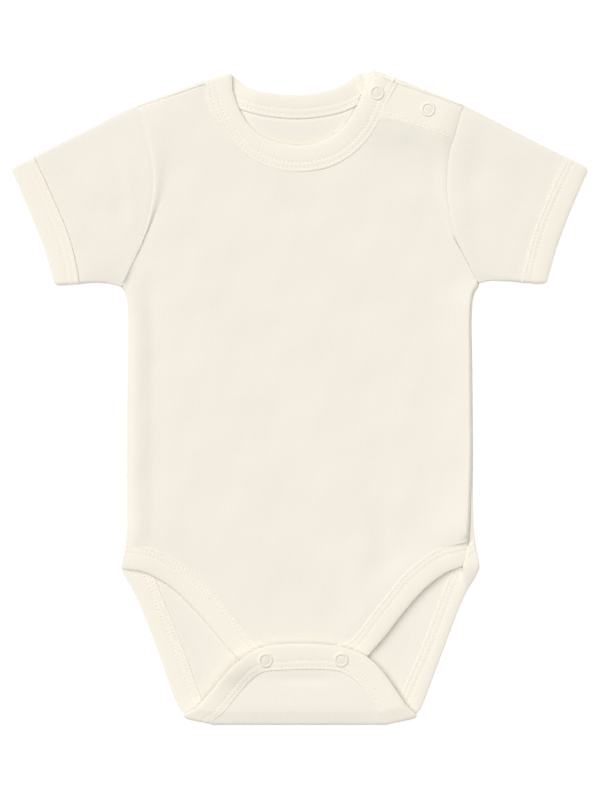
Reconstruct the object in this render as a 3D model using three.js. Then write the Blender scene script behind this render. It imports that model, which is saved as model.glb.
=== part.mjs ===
import * as THREE from 'three';

// Baby bodysuit laid flat, front up. Millimetres, +Z up, +Y towards the neck, -X is the viewer's left.
// Every piece of cloth is a wall round a middle surface, a grid of points worked out from these sizes.

// Cloth and rib
const CLOTH_WALL = 1.0;
const RIB_WALL = 2.2;
const SEAM_GAP = 0.55;
const FOLD_CORNER_GAP = 0.35;
const LAYER_GAP = 0.3;
const ROUNDED_EDGE_WALL = 1.2;

// Heights of the middle surfaces
const BACK_HEIGHT = CLOTH_WALL / 2;
const BACK_RIB_HEIGHT = RIB_WALL / 2;
const FRONT_SIDE_HEIGHT = CLOTH_WALL + LAYER_GAP + CLOTH_WALL / 2;
const FRONT_RISE = 1.3;
const FRONT_HEM_HEIGHT = 2.62;
const FRONT_RISE_WIDTH = 12;
const CROTCH_RISE_SHARE = 0.55;
const ARMHOLE_RISE = 0.8;
const ARMHOLE_RISE_FROM = 62;
const ARMHOLE_RISE_TO = 90;
const CROTCH_RISE_FROM = -155;
const CROTCH_RISE_TO = -90;
const UNDERLAP_RIB_HEIGHT = 3.6;
const UNDERLAP_HEIGHT_AT_NECK = 3.3;
const UNDERLAP_HEIGHT_AT_ARM = 2.0;
const SHOULDER_WRAP_AT_NECK = 2.8;
const SHOULDER_WRAP_AT_ARM = 1.9;
const FLAP_FOLD_HEIGHT = 4.6;
const FLAP_END_HEIGHT = 6.3;
const FLAP_SLOPE_FROM = -205;
const FLAP_SLOPE_TO = -178;
const CUFF_TOP_HEIGHT = 3.8;
const SLEEVE_PUFF = 0.7;
const SHOULDER_TURN_DEPTH = 2.4;

// Colours and finishes
const CREAM = 0xf4eee1;
const CREAM_SLEEVE = 0xf6f0e4;
const CREAM_RIB = 0xf3ecdf;
const SNAP_WHITE = 0xf8f6f0;
const CLOTH_ROUGHNESS = 0.95;
const SNAP_ROUGHNESS = 0.4;

function table(columns, rows) {
  return rows.map((row) => Object.fromEntries(columns.map((name, i) => [name, row[i]])));
}

// Soft mounds that lift the front where more layers lie under it
const FRONT_MOUNDS = table(['x', 'y', 'height', 'plateau', 'spread'], [
  [56, 190, 4.3, 10, 28],
  [-56, 192, 0.9, 8, 25],
  [-108, -96, 1.8, 4, 22],
  [106, -96, 1.8, 4, 22],
]);

// Largest folds of the front: the line of each, its height (a trough is negative) and its width
const FRONT_FOLDS = table(['x0', 'y0', 'x1', 'y1', 'height', 'width'], [
  [-103, 60, -102, -82, 0.8, 5],
  [-96, 66, -95, -84, -0.5, 6],
  [101, 62, 100, -88, 1.3, 9],
  [49, -72, 55, -104, -0.5, 7],
  [40, -102, 36, -150, 0.4, 9],
]);

// Neckline of the front from the right shoulder to the left: seam and free edge of the rib
const FRONT_NECK = table(['seamX', 'seamY', 'edgeX', 'edgeY'], [
  [62.5, 197.8, 48.3, 204.2],
  [56.5, 186.7, 41.0, 193.7],
  [52.4, 177.8, 37.1, 185.7],
  [46.0, 166.4, 31.8, 176.2],
  [36.2, 155.6, 24.4, 168.3],
  [21.9, 146.7, 14.9, 162.6],
  [3.5, 142.6, 2.9, 159.7],
  [-14.9, 144.1, -10.5, 160.7],
  [-31.4, 151.4, -22.5, 165.1],
  [-44.5, 164.1, -32.1, 173.0],
  [-53.7, 176.8, -38.4, 183.2],
  [-58.7, 189.9, -42.2, 194.3],
]);
const FRONT_NECK_LEFT_END = { seamX: -60.2, seamY: 197.6, edgeX: -43.0, edgeY: 203.0 };
const FRONT_RIGHT_CORNER = { x: 103.0, y: 183.6 };
const FRONT_LEFT_CORNER = { x: -101.6, y: 183.0 };

// Neckline of the back from the left shoulder to the right
const BACK_NECK = table(['seamX', 'seamY', 'edgeX', 'edgeY'], [
  [-53.3, 191.1, -40.0, 202.4],
  [-45.4, 185.7, -35.9, 199.0],
  [-35.9, 181.8, -30.2, 195.8],
  [-23.8, 178.4, -21.3, 193.4],
  [1.0, 176.3, 0.3, 191.9],
  [25.7, 180.0, 21.3, 195.5],
  [35.9, 184.2, 28.9, 199.0],
  [45.4, 189.5, 34.6, 203.2],
  [53.0, 195.3, 40.3, 205.4],
]);

// End of the back neckline on the underlap
const UNDERLAP_NECK = table(['seamX', 'seamY', 'edgeX', 'edgeY'], [
  [57.7, 194.5, 42.1, 200.6],
  [56.0, 190.0, 40.4, 196.2],
  [54.2, 185.2, 38.6, 191.6],
]);
const UNDERLAP_ARM_END = { x: 99.6, y: 172.0 };

// Folded edges on the outline, where a rib and its panel turn from one side to the other
const LEFT_SHOULDER_FOLD = { seamX: -60.6, seamY: 201.0, edgeX: -43.5, edgeY: 206.5 };
const RIGHT_SHOULDER_FOLD = { seamX: 61.3, seamY: 202.6, edgeX: 45.4, edgeY: 208.3 };
const LEFT_FLAP_FOLD = { seamX: -54.9, seamY: -208.3, edgeX: -73.3, edgeY: -204.3 };
const RIGHT_FLAP_FOLD = { seamX: 55.6, seamY: -208.3, edgeX: 74.3, edgeY: -204.0 };

// Armholes from the shoulder down
const ARMHOLES = table(['leftX', 'leftY', 'rightX', 'rightY'], [
  [-102.2, 185.6, 103.6, 185.6],
  [-98.4, 170.2, 99.1, 169.5],
  [-93.7, 151.8, 94.9, 151.8],
  [-92.2, 134.0, 93.7, 131.4],
  [-94.9, 113.7, 95.9, 113.7],
  [-101.3, 94.6, 102.6, 95.2],
  [-109.5, 77.5, 110.8, 78.1],
  [-113.0, 69.7, 114.3, 72.0],
]);

// Side seams: the front's edge and, on the right, the outline that the back makes beyond it
const SIDES = table(['y', 'leftX', 'rightX', 'outlineX'], [
  [70, -112.9, 113.9, 114.1],
  [64, -110.2, 110.3, 110.6],
  [52, -108.8, 109.2, 109.5],
  [20, -109.0, 109.4, 109.8],
  [-34, -109.5, 109.8, 110.3],
  [-66, -109.3, 108.9, 110.0],
  [-84, -109.4, 107.9, 110.6],
  [-92, -109.9, 107.1, 111.1],
]);

// Rib of the front from the left leg over the lower edge to the right leg
const FRONT_LEG = table(['seamX', 'seamY', 'edgeX', 'edgeY'], [
  [-110.0, -93.0, -113.5, -109.2],
  [-94.9, -95.6, -99.4, -111.1],
  [-84.1, -99.7, -89.9, -115.4],
  [-73.3, -105.9, -80.3, -121.6],
  [-53.0, -124.5, -61.3, -140.7],
  [-42.9, -136.8, -51.1, -153.0],
  [-33.3, -148.9, -42.2, -162.9],
  [-26.4, -155.3, -34.0, -169.5],
  [-9.8, -158.9, -11.1, -175.3],
  [14.3, -158.9, 15.6, -175.3],
  [31.4, -154.9, 39.1, -168.6],
  [38.4, -148.0, 46.7, -161.0],
  [47.3, -135.9, 56.2, -149.9],
  [56.8, -124.1, 65.7, -137.5],
  [65.7, -113.0, 74.6, -127.0],
  [75.9, -104.1, 83.5, -118.4],
  [87.3, -96.5, 93.7, -111.4],
  [107.1, -91.6, 104.6, -107.4],
]);

// Rib of the back along each leg, from the side seam down to the fold of the flap
const BACK_LEG_LEFT = table(['seamX', 'seamY', 'edgeX', 'edgeY'], [
  [-110.0, -93.0, -113.5, -108.6],
  [-99.4, -101.0, -111.4, -113.3],
  [-92.4, -113.0, -106.6, -121.3],
  [-87.3, -125.4, -101.7, -131.4],
  [-75.7, -153.7, -90.8, -159.4],
  [-64.5, -184.5, -79.7, -190.5],
  [-59.7, -196.2, -75.9, -198.6],
]);
const BACK_LEG_RIGHT = table(['seamX', 'seamY', 'edgeX', 'edgeY'], [
  [111.1, -91.4, 114.5, -108.2],
  [101.3, -100.3, 112.1, -113.7],
  [94.9, -113.7, 107.6, -121.3],
  [89.5, -127.0, 102.6, -131.4],
  [78.1, -157.5, 91.8, -159.4],
  [66.0, -184.8, 81.0, -188.6],
  [60.9, -196.2, 77.2, -198.1],
]);

// Rib of the flap: each arm from the fold up to the corner, and the end between the corners
const FLAP_LEFT = table(['seamX', 'seamY', 'edgeX', 'edgeY'], [
  [-47.9, -200.4, -65.7, -197.6],
  [-36.5, -186.4, -53.0, -183.2],
  [-30.8, -180.0, -45.4, -174.3],
  [-25.1, -175.6, -37.1, -166.4],
]);
const FLAP_END = table(['seamX', 'seamY', 'edgeX', 'edgeY'], [
  [-19.4, -174.1, -28.3, -160.7],
  [-13.0, -173.7, -18.7, -157.6],
  [6.7, -173.0, 6.7, -156.3],
  [24.4, -174.1, 28.9, -158.9],
]);
const FLAP_RIGHT = table(['seamX', 'seamY', 'edgeX', 'edgeY'], [
  [50.8, -200.4, 67.6, -195.4],
  [42.9, -188.6, 54.9, -176.8],
  [37.5, -182.2, 47.3, -168.3],
  [31.4, -177.2, 38.4, -162.1],
]);

// Sleeves: top fold, underarm fold, cuff seam and free edge of the cuff, each from the shoulder side
const SLEEVE_LEFT = {
  top: [[-102.2, 185.6], [-111.4, 181.7], [-130.5, 172.1], [-150.8, 161.9], [-168.4, 152.9]],
  under: [[-113.0, 69.7], [-121.6, 71.8], [-129.9, 72.2], [-139.4, 71.5]],
  cuffSeam: [[-168.4, 152.9], [-158.4, 131.4], [-145.7, 101.0], [-140.6, 80.0], [-139.4, 71.5]],
  cuffEdge: [[-183.3, 144.9], [-171.8, 118.7], [-161.9, 93.3], [-155.4, 71.0]],
};
const SLEEVE_RIGHT = {
  top: [[103.6, 185.6], [112.1, 181.4], [134.9, 169.5], [152.7, 160.5], [169.5, 152.0]],
  under: [[114.3, 72.0], [121.0, 73.4], [130.5, 73.2], [140.7, 72.5]],
  cuffSeam: [[169.5, 152.0], [159.7, 131.4], [149.5, 106.7], [143.2, 83.2], [140.7, 72.5]],
  cuffEdge: [[183.6, 144.7], [172.3, 118.7], [162.8, 93.3], [156.8, 71.8]],
};

// Snaps: outer ring, its hollow middle with a cloth dome, and the closed stud and socket under it
const SNAP_RADIUS = 4.75;
const SNAP_DOME_RADIUS = 2.7;
const SNAP_RING_HEIGHT = 1.2;
const SNAP_DOME_HEIGHT = 0.9;
const SNAP_BASE_HEIGHT = 0.4;
const SNAP_DOME_SHOULDER = 0.8;
const SNAP_DOME_FLAT = 0.4;
const SNAP_SEGMENTS = 20;
const SLOPE_STEP = 4;
const CLOSURE_RADIUS = 4.0;
const CLOSURE_HEIGHT = 0.9;
const SNAPS = table(['name', 'x', 'y', 'layer'], [
  ['shoulder_inner', 49.2, 192.7, 'neck rib'],
  ['shoulder_outer', 81.6, 182.2, 'front'],
  ['crotch_left', -21.4, -167.0, 'flap rib'],
  ['crotch_right', 26.5, -166.7, 'flap rib'],
]);

// Numbers of steps along the edges
const ARM_STEPS = 8;
const SIDE_STEPS = 7;
const LEG_STEPS = 12;
const HEM_STEPS = 5;
const FRONT_ROWS = 15;
const BACK_COLUMNS = 26;
const SHOULDER_COLUMNS = 5;
const SLEEVE_RINGS = 8;
const SLEEVE_START_SHARE = 0.016;
const SLEEVE_END_SHARE = 0.996;
const TURN_STEPS = 4;
const NECK_STEPS = 30;
const BACK_NECK_STEPS = 16;
const UNDERLAP_STEPS = 2;
const NECK_SHAPE_ROWS = 6;
const FLAP_ARM_STEPS = 4;
const FLAP_END_STEPS = 14;

const smooth = THREE.MathUtils.smoothstep;
const mix = THREE.MathUtils.lerp;

const flatPoint = ({ x, y }) => new THREE.Vector3(x, y, 0);

function curve(points) {
  return new THREE.CatmullRomCurve3(points.map(([x, y]) => flatPoint({ x, y })), false, 'centripetal');
}

// Points at equal lengths along a curve
const along = (path, steps) => Array.from({ length: steps + 1 }, (_, k) => path.getPointAt(k / steps));

// Matching seam and edge points of a rib, taken along its table
function stations(rows, steps) {
  const seam = curve(rows.map((row) => [row.seamX, row.seamY]));
  const edge = curve(rows.map((row) => [row.edgeX, row.edgeY]));
  return Array.from({ length: steps + 1 }, (_, k) => {
    const t = k / steps;
    return { seam: seam.getPoint(t), edge: edge.getPoint(t) };
  });
}

// Curve through a pair of a table's columns
const columnCurve = (rows, x, y) => curve(rows.map((row) => [row[x], row[y]]));

const LEFT_ARM = along(columnCurve(ARMHOLES, 'leftX', 'leftY'), ARM_STEPS);
const RIGHT_ARM = along(columnCurve(ARMHOLES, 'rightX', 'rightY'), ARM_STEPS);
const LEFT_SIDE = along(columnCurve(SIDES, 'leftX', 'y'), SIDE_STEPS);
const RIGHT_SIDE = along(columnCurve(SIDES, 'rightX', 'y'), SIDE_STEPS);
const RIGHT_OUTLINE = along(columnCurve(SIDES, 'outlineX', 'y'), SIDE_STEPS);

// Place of the front's edge at a height y, read from the armholes and sides
function sideX(y, side) {
  const rows = [
    ...ARMHOLES.map((row) => [row[`${side}Y`], row[`${side}X`]]),
    ...SIDES.slice(1).map((row) => [row.y, row[`${side}X`]]),
  ];
  const next = rows.findIndex(([height]) => height <= y);
  if (next < 1) return next === 0 ? rows[0][1] : rows[rows.length - 1][1];
  const [y0, x0] = rows[next - 1];
  const [y1, x1] = rows[next];
  return mix(x0, x1, (y0 - y) / (y0 - y1));
}

// Distance from a point to a straight line between two ends
function distanceToLine(x, y, fold) {
  const dx = fold.x1 - fold.x0;
  const dy = fold.y1 - fold.y0;
  const t = THREE.MathUtils.clamp(((x - fold.x0) * dx + (y - fold.y0) * dy) / (dx * dx + dy * dy), 0, 1);
  return Math.hypot(x - fold.x0 - t * dx, y - fold.y0 - t * dy);
}

// Height of the front's middle surface: low at the sides, a rise inside, mounds over layers, and folds
function frontHeight(x, y) {
  const inside = Math.max(0, Math.min(sideX(y, 'right') - x, x - sideX(y, 'left')));
  const armhole = ARMHOLE_RISE * smooth(y, ARMHOLE_RISE_FROM, ARMHOLE_RISE_TO);
  const riseShare = mix(CROTCH_RISE_SHARE, 1, smooth(y, CROTCH_RISE_FROM, CROTCH_RISE_TO));
  const rise = FRONT_RISE * riseShare - armhole;
  const mounds = FRONT_MOUNDS.reduce((sum, mound) => {
    const distance = Math.max(0, Math.hypot(x - mound.x, y - mound.y) - mound.plateau);
    return sum + mound.height * Math.exp(-((distance / mound.spread) ** 2));
  }, 0);
  const folds = FRONT_FOLDS.reduce((sum, fold) => {
    const distance = distanceToLine(x, y, fold);
    return sum + fold.height * Math.exp(-((distance / fold.width) ** 2));
  }, 0);
  const settled = 1 - Math.exp(-inside / FRONT_RISE_WIDTH);
  return FRONT_SIDE_HEIGHT + armhole + rise * settled + mounds + folds * settled;
}

function flapHeight(y) {
  return mix(FLAP_FOLD_HEIGHT, FLAP_END_HEIGHT, smooth(y, FLAP_SLOPE_FROM, FLAP_SLOPE_TO));
}

const raised = (point, z) => new THREE.Vector3(point.x, point.y, z);

// Half turn of a wall round a fold on the outline, from its lower height to its upper one
function turn(outline, outward, low, high, wall) {
  const radius = (high - low) / 2;
  const centre = outline.clone().addScaledVector(outward, -(wall / 2 + radius));
  return Array.from({ length: TURN_STEPS + 1 }, (_, k) => {
    const angle = -Math.PI / 2 + (Math.PI * k) / TURN_STEPS;
    const point = centre.clone().addScaledVector(outward, radius * Math.cos(angle));
    return raised(point, low + radius + radius * Math.sin(angle));
  });
}

// Unit vector at a right angle to a line in plan, on the side of a hint
function outwardOf(from, to, hint) {
  const direction = new THREE.Vector3(from.y - to.y, to.x - from.x, 0).normalize();
  return direction.dot(hint) < 0 ? direction.negate() : direction;
}

// Closed wall round a grid of middle points: walls may differ from point to point, the grid may close
// on itself across its columns, and cells named by the omit function are left out
function clothGeometry(rows, wall, closed = false, omit = () => false) {
  const columns = rows[0].length;
  const cells = [];
  const normals = rows.map((row) => row.map(() => new THREE.Vector3()));
  for (let r = 0; r < rows.length - 1; r++) {
    for (let c = 0; c < (closed ? columns : columns - 1); c++) {
      if (omit(r, c)) continue;
      const next = (c + 1) % columns;
      const corners = [[r, c], [r, next], [r + 1, next], [r + 1, c]];
      const [p, q, s, t] = corners.map(([i, j]) => rows[i][j]);
      const normal = s.clone().sub(p).cross(t.clone().sub(q));
      corners.forEach(([i, j]) => normals[i][j].add(normal));
      cells.push(corners.map(([i, j]) => i * columns + j));
    }
  }
  const positions = [];
  const numbers = new Map();
  const vertex = (id) => {
    if (!numbers.has(id)) {
      const r = Math.floor(id / columns);
      const c = id % columns;
      const offset = normals[r][c].clone().setLength(wall(r, c) / 2);
      numbers.set(id, positions.length / 3);
      positions.push(...rows[r][c].clone().add(offset).toArray());
      positions.push(...rows[r][c].clone().sub(offset).toArray());
    }
    return numbers.get(id);
  };
  const faces = [];
  const edges = new Set(cells.flatMap((cell) => cell.map((id, k) => `${id},${cell[(k + 1) % 4]}`)));
  for (const cell of cells) {
    const [p, q, s, t] = cell.map(vertex);
    faces.push(p, q, s, p, s, t, q + 1, p + 1, s + 1, s + 1, p + 1, t + 1);
    cell.forEach((id, k) => {
      const next = cell[(k + 1) % 4];
      if (edges.has(`${next},${id}`)) return;
      const [i, j] = [vertex(id), vertex(next)];
      faces.push(j, i, i + 1, j, i + 1, j + 1);
    });
  }
  const geometry = new THREE.BufferGeometry();
  geometry.setAttribute('position', new THREE.Float32BufferAttribute(positions, 3));
  geometry.setIndex(faces);
  geometry.computeVertexNormals();
  return geometry;
}

const constantWall = (wall) => () => wall;

const part = new THREE.Group();

function addPiece(name, geometry, color, roughness = CLOTH_ROUGHNESS) {
  const material = new THREE.MeshStandardMaterial({ color, roughness, metalness: 0 });
  const mesh = new THREE.Mesh(geometry, material);
  mesh.name = name;
  part.add(mesh);
}

// Front: a fan of straight lines from the neck seam out to the armholes, sides, legs and lower edge
const neckSteps = 2 * (ARM_STEPS + SIDE_STEPS + LEG_STEPS) + HEM_STEPS;
const frontLegStations = stations(FRONT_LEG, 2 * LEG_STEPS + HEM_STEPS);
const frontOuter = [
  ...RIGHT_ARM.slice(0, -1),
  ...RIGHT_SIDE.slice(0, -1),
  ...frontLegStations.map(({ seam }) => seam).reverse(),
  ...LEFT_SIDE.slice(0, -1).reverse(),
  ...LEFT_ARM.slice(0, -1).reverse(),
];
frontOuter[0] = flatPoint(FRONT_RIGHT_CORNER);
frontOuter[frontOuter.length - 1] = flatPoint(FRONT_LEFT_CORNER);
const frontNeck = stations([...FRONT_NECK, FRONT_NECK_LEFT_END], neckSteps);
const frontRows = Array.from({ length: FRONT_ROWS + 1 }, (_, r) => frontOuter.map((outer, c) => {
  const point = frontNeck[c].seam.clone().lerp(outer, r / FRONT_ROWS);
  return raised(point, frontHeight(point.x, point.y));
}));
addPiece('front_panel', clothGeometry(frontRows, constantWall(CLOTH_WALL)), CREAM);

const seamPoint = ({ seamX, seamY }) => new THREE.Vector3(seamX, seamY, 0);
const edgePoint = ({ edgeX, edgeY }) => new THREE.Vector3(edgeX, edgeY, 0);
const DOWN = new THREE.Vector3(0, -1, 0);
const UP_THE_BODY = new THREE.Vector3(0, 1, 0);

// Row of a rib where it lies just below a shoulder fold
function belowFold(fold, outward) {
  const shift = outward.clone().multiplyScalar(-SHOULDER_TURN_DEPTH);
  return {
    seamX: fold.seamX + shift.x,
    seamY: fold.seamY + shift.y,
    edgeX: fold.edgeX + shift.x,
    edgeY: fold.edgeY + shift.y,
  };
}

// Back: rows across from edge to edge. The first wrap over the shoulders, the last turn up into the flap.
const leftLeg = stations(BACK_LEG_LEFT, LEG_STEPS);
const rightLeg = stations(BACK_LEG_RIGHT, LEG_STEPS);
const leftArmFlap = stations(FLAP_LEFT, FLAP_ARM_STEPS);
const rightArmFlap = stations(FLAP_RIGHT, FLAP_ARM_STEPS);
const flapCorners = [FLAP_LEFT[FLAP_LEFT.length - 1], ...FLAP_END, FLAP_RIGHT[FLAP_RIGHT.length - 1]];
const flapSeam = along(curve(flapCorners.map((row) => [row.seamX, row.seamY])), BACK_COLUMNS);
const leftCorner = seamPoint(LEFT_SHOULDER_FOLD);
const rightCorner = seamPoint(RIGHT_SHOULDER_FOLD);
const lastNeckColumn = BACK_COLUMNS - SHOULDER_COLUMNS;
const leftOutward = outwardOf(LEFT_ARM[0], leftCorner, UP_THE_BODY);
const rightOutward = outwardOf(RIGHT_ARM[0], rightCorner, UP_THE_BODY);
const backNeck = [
  belowFold(LEFT_SHOULDER_FOLD, leftOutward),
  ...BACK_NECK,
  belowFold(RIGHT_SHOULDER_FOLD, rightOutward),
];
const neckColumns = lastNeckColumn - SHOULDER_COLUMNS;
const backNeckSeam = along(curve(backNeck.map((row) => [row.seamX, row.seamY])), neckColumns);
const isShoulder = (c) => c <= SHOULDER_COLUMNS || c >= lastNeckColumn;
const share = (c) => (c <= SHOULDER_COLUMNS ? c : BACK_COLUMNS - c) / SHOULDER_COLUMNS;

// Top line of the back, from armhole to armhole, which stops just short of the rib at both folded corners
const shortOf = (corner, arm) => corner.clone().lerp(arm, FOLD_CORNER_GAP / corner.distanceTo(arm));
const leftTopEnd = shortOf(leftCorner, LEFT_ARM[0]);
const rightTopEnd = shortOf(rightCorner, RIGHT_ARM[0]);
const backTop = Array.from({ length: BACK_COLUMNS + 1 }, (_, c) => {
  if (c <= SHOULDER_COLUMNS) return LEFT_ARM[0].clone().lerp(leftTopEnd, share(c));
  if (c >= lastNeckColumn) return RIGHT_ARM[0].clone().lerp(rightTopEnd, share(c));
  return backNeckSeam[c - SHOULDER_COLUMNS];
});

// One row across, straight between its ends, plus a share of the top line's shape
function backRow(left, right, shape = 0) {
  return backTop.map((top, c) => {
    const u = c / BACK_COLUMNS;
    const straight = backTop[0].clone().lerp(backTop[BACK_COLUMNS], u);
    return raised(left.clone().lerp(right, u).addScaledVector(top.clone().sub(straight), shape), BACK_HEIGHT);
  });
}

const armRows = LEFT_ARM.slice(1).map((left, k) => {
  const neckShape = Math.max(0, 1 - (k + 1) / NECK_SHAPE_ROWS) ** 2;
  return backRow(left, RIGHT_ARM[k + 1], neckShape);
});
const sideRows = LEFT_SIDE.slice(1, -1).map((left, k) => backRow(left, RIGHT_OUTLINE[k + 1]));
const legRows = leftLeg.map(({ seam }, k) => backRow(seam, rightLeg[k].seam));

// Shoulder columns: end of the wrap or underlap, then the turn from its upper side to the lower one
const underlapNeckEnd = seamPoint(UNDERLAP_NECK[UNDERLAP_NECK.length - 1]);
const underlapArmEnd = flatPoint(UNDERLAP_ARM_END);
const shoulderColumns = backTop.map((top, c) => {
  if (!isShoulder(c)) return Array(TURN_STEPS + 2).fill(raised(top, BACK_HEIGHT));
  const isLeft = c <= SHOULDER_COLUMNS;
  const outward = isLeft ? leftOutward : rightOutward;
  const wrapEnd = isLeft
    ? top.clone().addScaledVector(outward, -mix(SHOULDER_WRAP_AT_ARM, SHOULDER_WRAP_AT_NECK, share(c)))
    : underlapArmEnd.clone().lerp(underlapNeckEnd, share(c));
  const high = isLeft
    ? frontHeight(top.x, top.y - SHOULDER_WRAP_AT_NECK)
    : mix(UNDERLAP_HEIGHT_AT_ARM, UNDERLAP_HEIGHT_AT_NECK, share(c));
  return [raised(wrapEnd, high), ...turn(top, outward, BACK_HEIGHT, high, CLOTH_WALL).reverse()];
});
const topRows = shoulderColumns[0].map((_, r) => shoulderColumns.map((column) => column[r]));
const neckRow = 1 + TURN_STEPS;

// Turn at the lower end and the flap on top of it
const leftFold = seamPoint(LEFT_FLAP_FOLD);
const rightFold = seamPoint(RIGHT_FLAP_FOLD);
const foldColumns = backTop.map((_, c) => {
  const outline = leftFold.clone().lerp(rightFold, c / BACK_COLUMNS);
  return turn(outline, DOWN, BACK_HEIGHT, FLAP_FOLD_HEIGHT, CLOTH_WALL);
});
const foldRows = foldColumns[0].map((_, r) => foldColumns.map((column) => column[r]));
const flapRows = leftArmFlap.map(({ seam }, k) => flapSeam.map((end, c) => {
  const u = c / BACK_COLUMNS;
  const straightEnd = flapSeam[0].clone().lerp(flapSeam[BACK_COLUMNS], u);
  const endShape = end.clone().sub(straightEnd).multiplyScalar((k / FLAP_ARM_STEPS) ** 2);
  const point = seam.clone().lerp(rightArmFlap[k].seam, u).add(endShape);
  return raised(point, flapHeight(point.y));
}));
const backRows = [...topRows, ...armRows, ...sideRows, ...legRows, ...foldRows, ...flapRows];
const besideNeck = (r, c) => r < neckRow && c >= SHOULDER_COLUMNS && c < lastNeckColumn;
addPiece('back_panel', clothGeometry(backRows, constantWall(CLOTH_WALL), false, besideNeck), CREAM);

// Rib strips: a folded wall from just off the seam to a rounded free edge, one row for each station
const FREE_EDGE_COLUMN = 3;
const ribWall = (_, c) => (c === FREE_EDGE_COLUMN ? ROUNDED_EDGE_WALL : RIB_WALL);

function ribRow(seam, edge) {
  const width = seam.distanceTo(edge);
  const distances = [SEAM_GAP, width / 2, width - RIB_WALL / 2, width];
  return distances.map((distance) => seam.clone().lerp(edge, distance / width));
}
const ribAt = (list, height) => list.map(({ seam, edge }) => {
  const z = height(seam);
  return ribRow(raised(seam, z), raised(edge, z));
});
function ribTurn(fold, outward, low, high) {
  const seams = turn(seamPoint(fold), outward, low, high, RIB_WALL);
  const edges = turn(edgePoint(fold), outward, low, high, RIB_WALL);
  return seams.map((seam, k) => ribRow(seam, edges[k]));
}
const addRib = (name, rows) => addPiece(name, clothGeometry(rows, ribWall), CREAM_RIB);
const frontSeamHeight = (seam) => frontHeight(seam.x, seam.y);

const frontNeckRib = ribAt(stations(FRONT_NECK, NECK_STEPS), frontSeamHeight);
const leftShoulderHeight = frontNeckRib[NECK_STEPS][0].z;
addRib('neckband', [
  ...frontNeckRib,
  ...ribTurn(LEFT_SHOULDER_FOLD, leftOutward, BACK_RIB_HEIGHT, leftShoulderHeight).reverse(),
  ...ribAt(stations(BACK_NECK, BACK_NECK_STEPS), () => BACK_RIB_HEIGHT),
  ...ribTurn(RIGHT_SHOULDER_FOLD, rightOutward, BACK_RIB_HEIGHT, UNDERLAP_RIB_HEIGHT),
  ...ribAt(stations(UNDERLAP_NECK, UNDERLAP_STEPS), () => UNDERLAP_RIB_HEIGHT),
]);

addRib('front_leg_binding', ribAt(frontLegStations, frontSeamHeight));

const flapEnd = stations(flapCorners, FLAP_END_STEPS);
const flapRib = (list) => ribAt(list, (seam) => flapHeight(seam.y));
addRib('back_leg_binding', [
  ...ribAt(leftLeg, () => BACK_RIB_HEIGHT),
  ...ribTurn(LEFT_FLAP_FOLD, DOWN, BACK_RIB_HEIGHT, FLAP_FOLD_HEIGHT),
  ...flapRib(leftArmFlap.slice(0, -1)),
  ...flapRib(flapEnd),
  ...flapRib(rightArmFlap.slice(0, -1).reverse()),
  ...ribTurn(RIGHT_FLAP_FOLD, DOWN, BACK_RIB_HEIGHT, FLAP_FOLD_HEIGHT).reverse(),
  ...ribAt(rightLeg, () => BACK_RIB_HEIGHT).reverse(),
]);

// Ring round a flattened tube: points across its upper layer, a turn at each folded edge, and its lower layer
function tubeRing(points, low, high, wall) {
  const last = points.length - 1;
  const turns = [[0, 1], [last, last - 1]].map(([end, inner]) => {
    const outward = points[end].clone().sub(points[inner]).normalize();
    return turn(points[end], outward, low, high(end), wall);
  });
  const inside = points.slice(1, -1);
  return [
    ...turns[0],
    ...inside.map((point, k) => raised(point, high(k + 1))),
    ...turns[1].reverse(),
    ...inside.map((point) => raised(point, low)).reverse(),
  ];
}

// Sleeve and cuff on one side, each a flattened tube between its armhole, seam and free edge
function addSleeve(side, arm, sizes) {
  const top = curve(sizes.top);
  const under = curve(sizes.under);
  const cuffSeam = along(curve(sizes.cuffSeam), ARM_STEPS);
  const cuffEdge = along(curve(sizes.cuffEdge), ARM_STEPS);
  const rings = Array.from({ length: SLEEVE_RINGS + 1 }, (_, j) => {
    const t = mix(SLEEVE_START_SHARE, SLEEVE_END_SHARE, j / SLEEVE_RINGS);
    const topShift = top.getPointAt(t).sub(arm[0].clone().lerp(cuffSeam[0], t));
    const underShift = under.getPointAt(t).sub(arm[ARM_STEPS].clone().lerp(cuffSeam[ARM_STEPS], t));
    const points = arm.map((point, k) => {
      const s = k / ARM_STEPS;
      const straight = point.clone().lerp(cuffSeam[k], t);
      return straight.addScaledVector(topShift, 1 - s).addScaledVector(underShift, s);
    });
    const high = (k) => {
      const puff = SLEEVE_PUFF * Math.sin((Math.PI * k) / ARM_STEPS) * Math.sin(Math.PI * t);
      return mix(frontHeight(arm[k].x, arm[k].y), CUFF_TOP_HEIGHT, smooth(t, 0, 1)) + puff;
    };
    return tubeRing(points, BACK_HEIGHT, high, CLOTH_WALL);
  });
  addPiece(`sleeve_${side}`, clothGeometry(rings, constantWall(CLOTH_WALL), true), CREAM_SLEEVE);

  const cuffRows = cuffSeam.map((seam, k) => ribRow(seam, cuffEdge[k]));
  const cuffRings = cuffRows[0].map((_, j) => {
    const points = cuffRows.map((row) => row[j]);
    return tubeRing(points, BACK_RIB_HEIGHT, () => CUFF_TOP_HEIGHT, RIB_WALL);
  });
  addPiece(`cuff_${side}`, clothGeometry(cuffRings, (r) => ribWall(0, r), true), CREAM_RIB);
}
addSleeve('left', LEFT_ARM, SLEEVE_LEFT);
addSleeve('right', RIGHT_ARM, SLEEVE_RIGHT);

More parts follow.
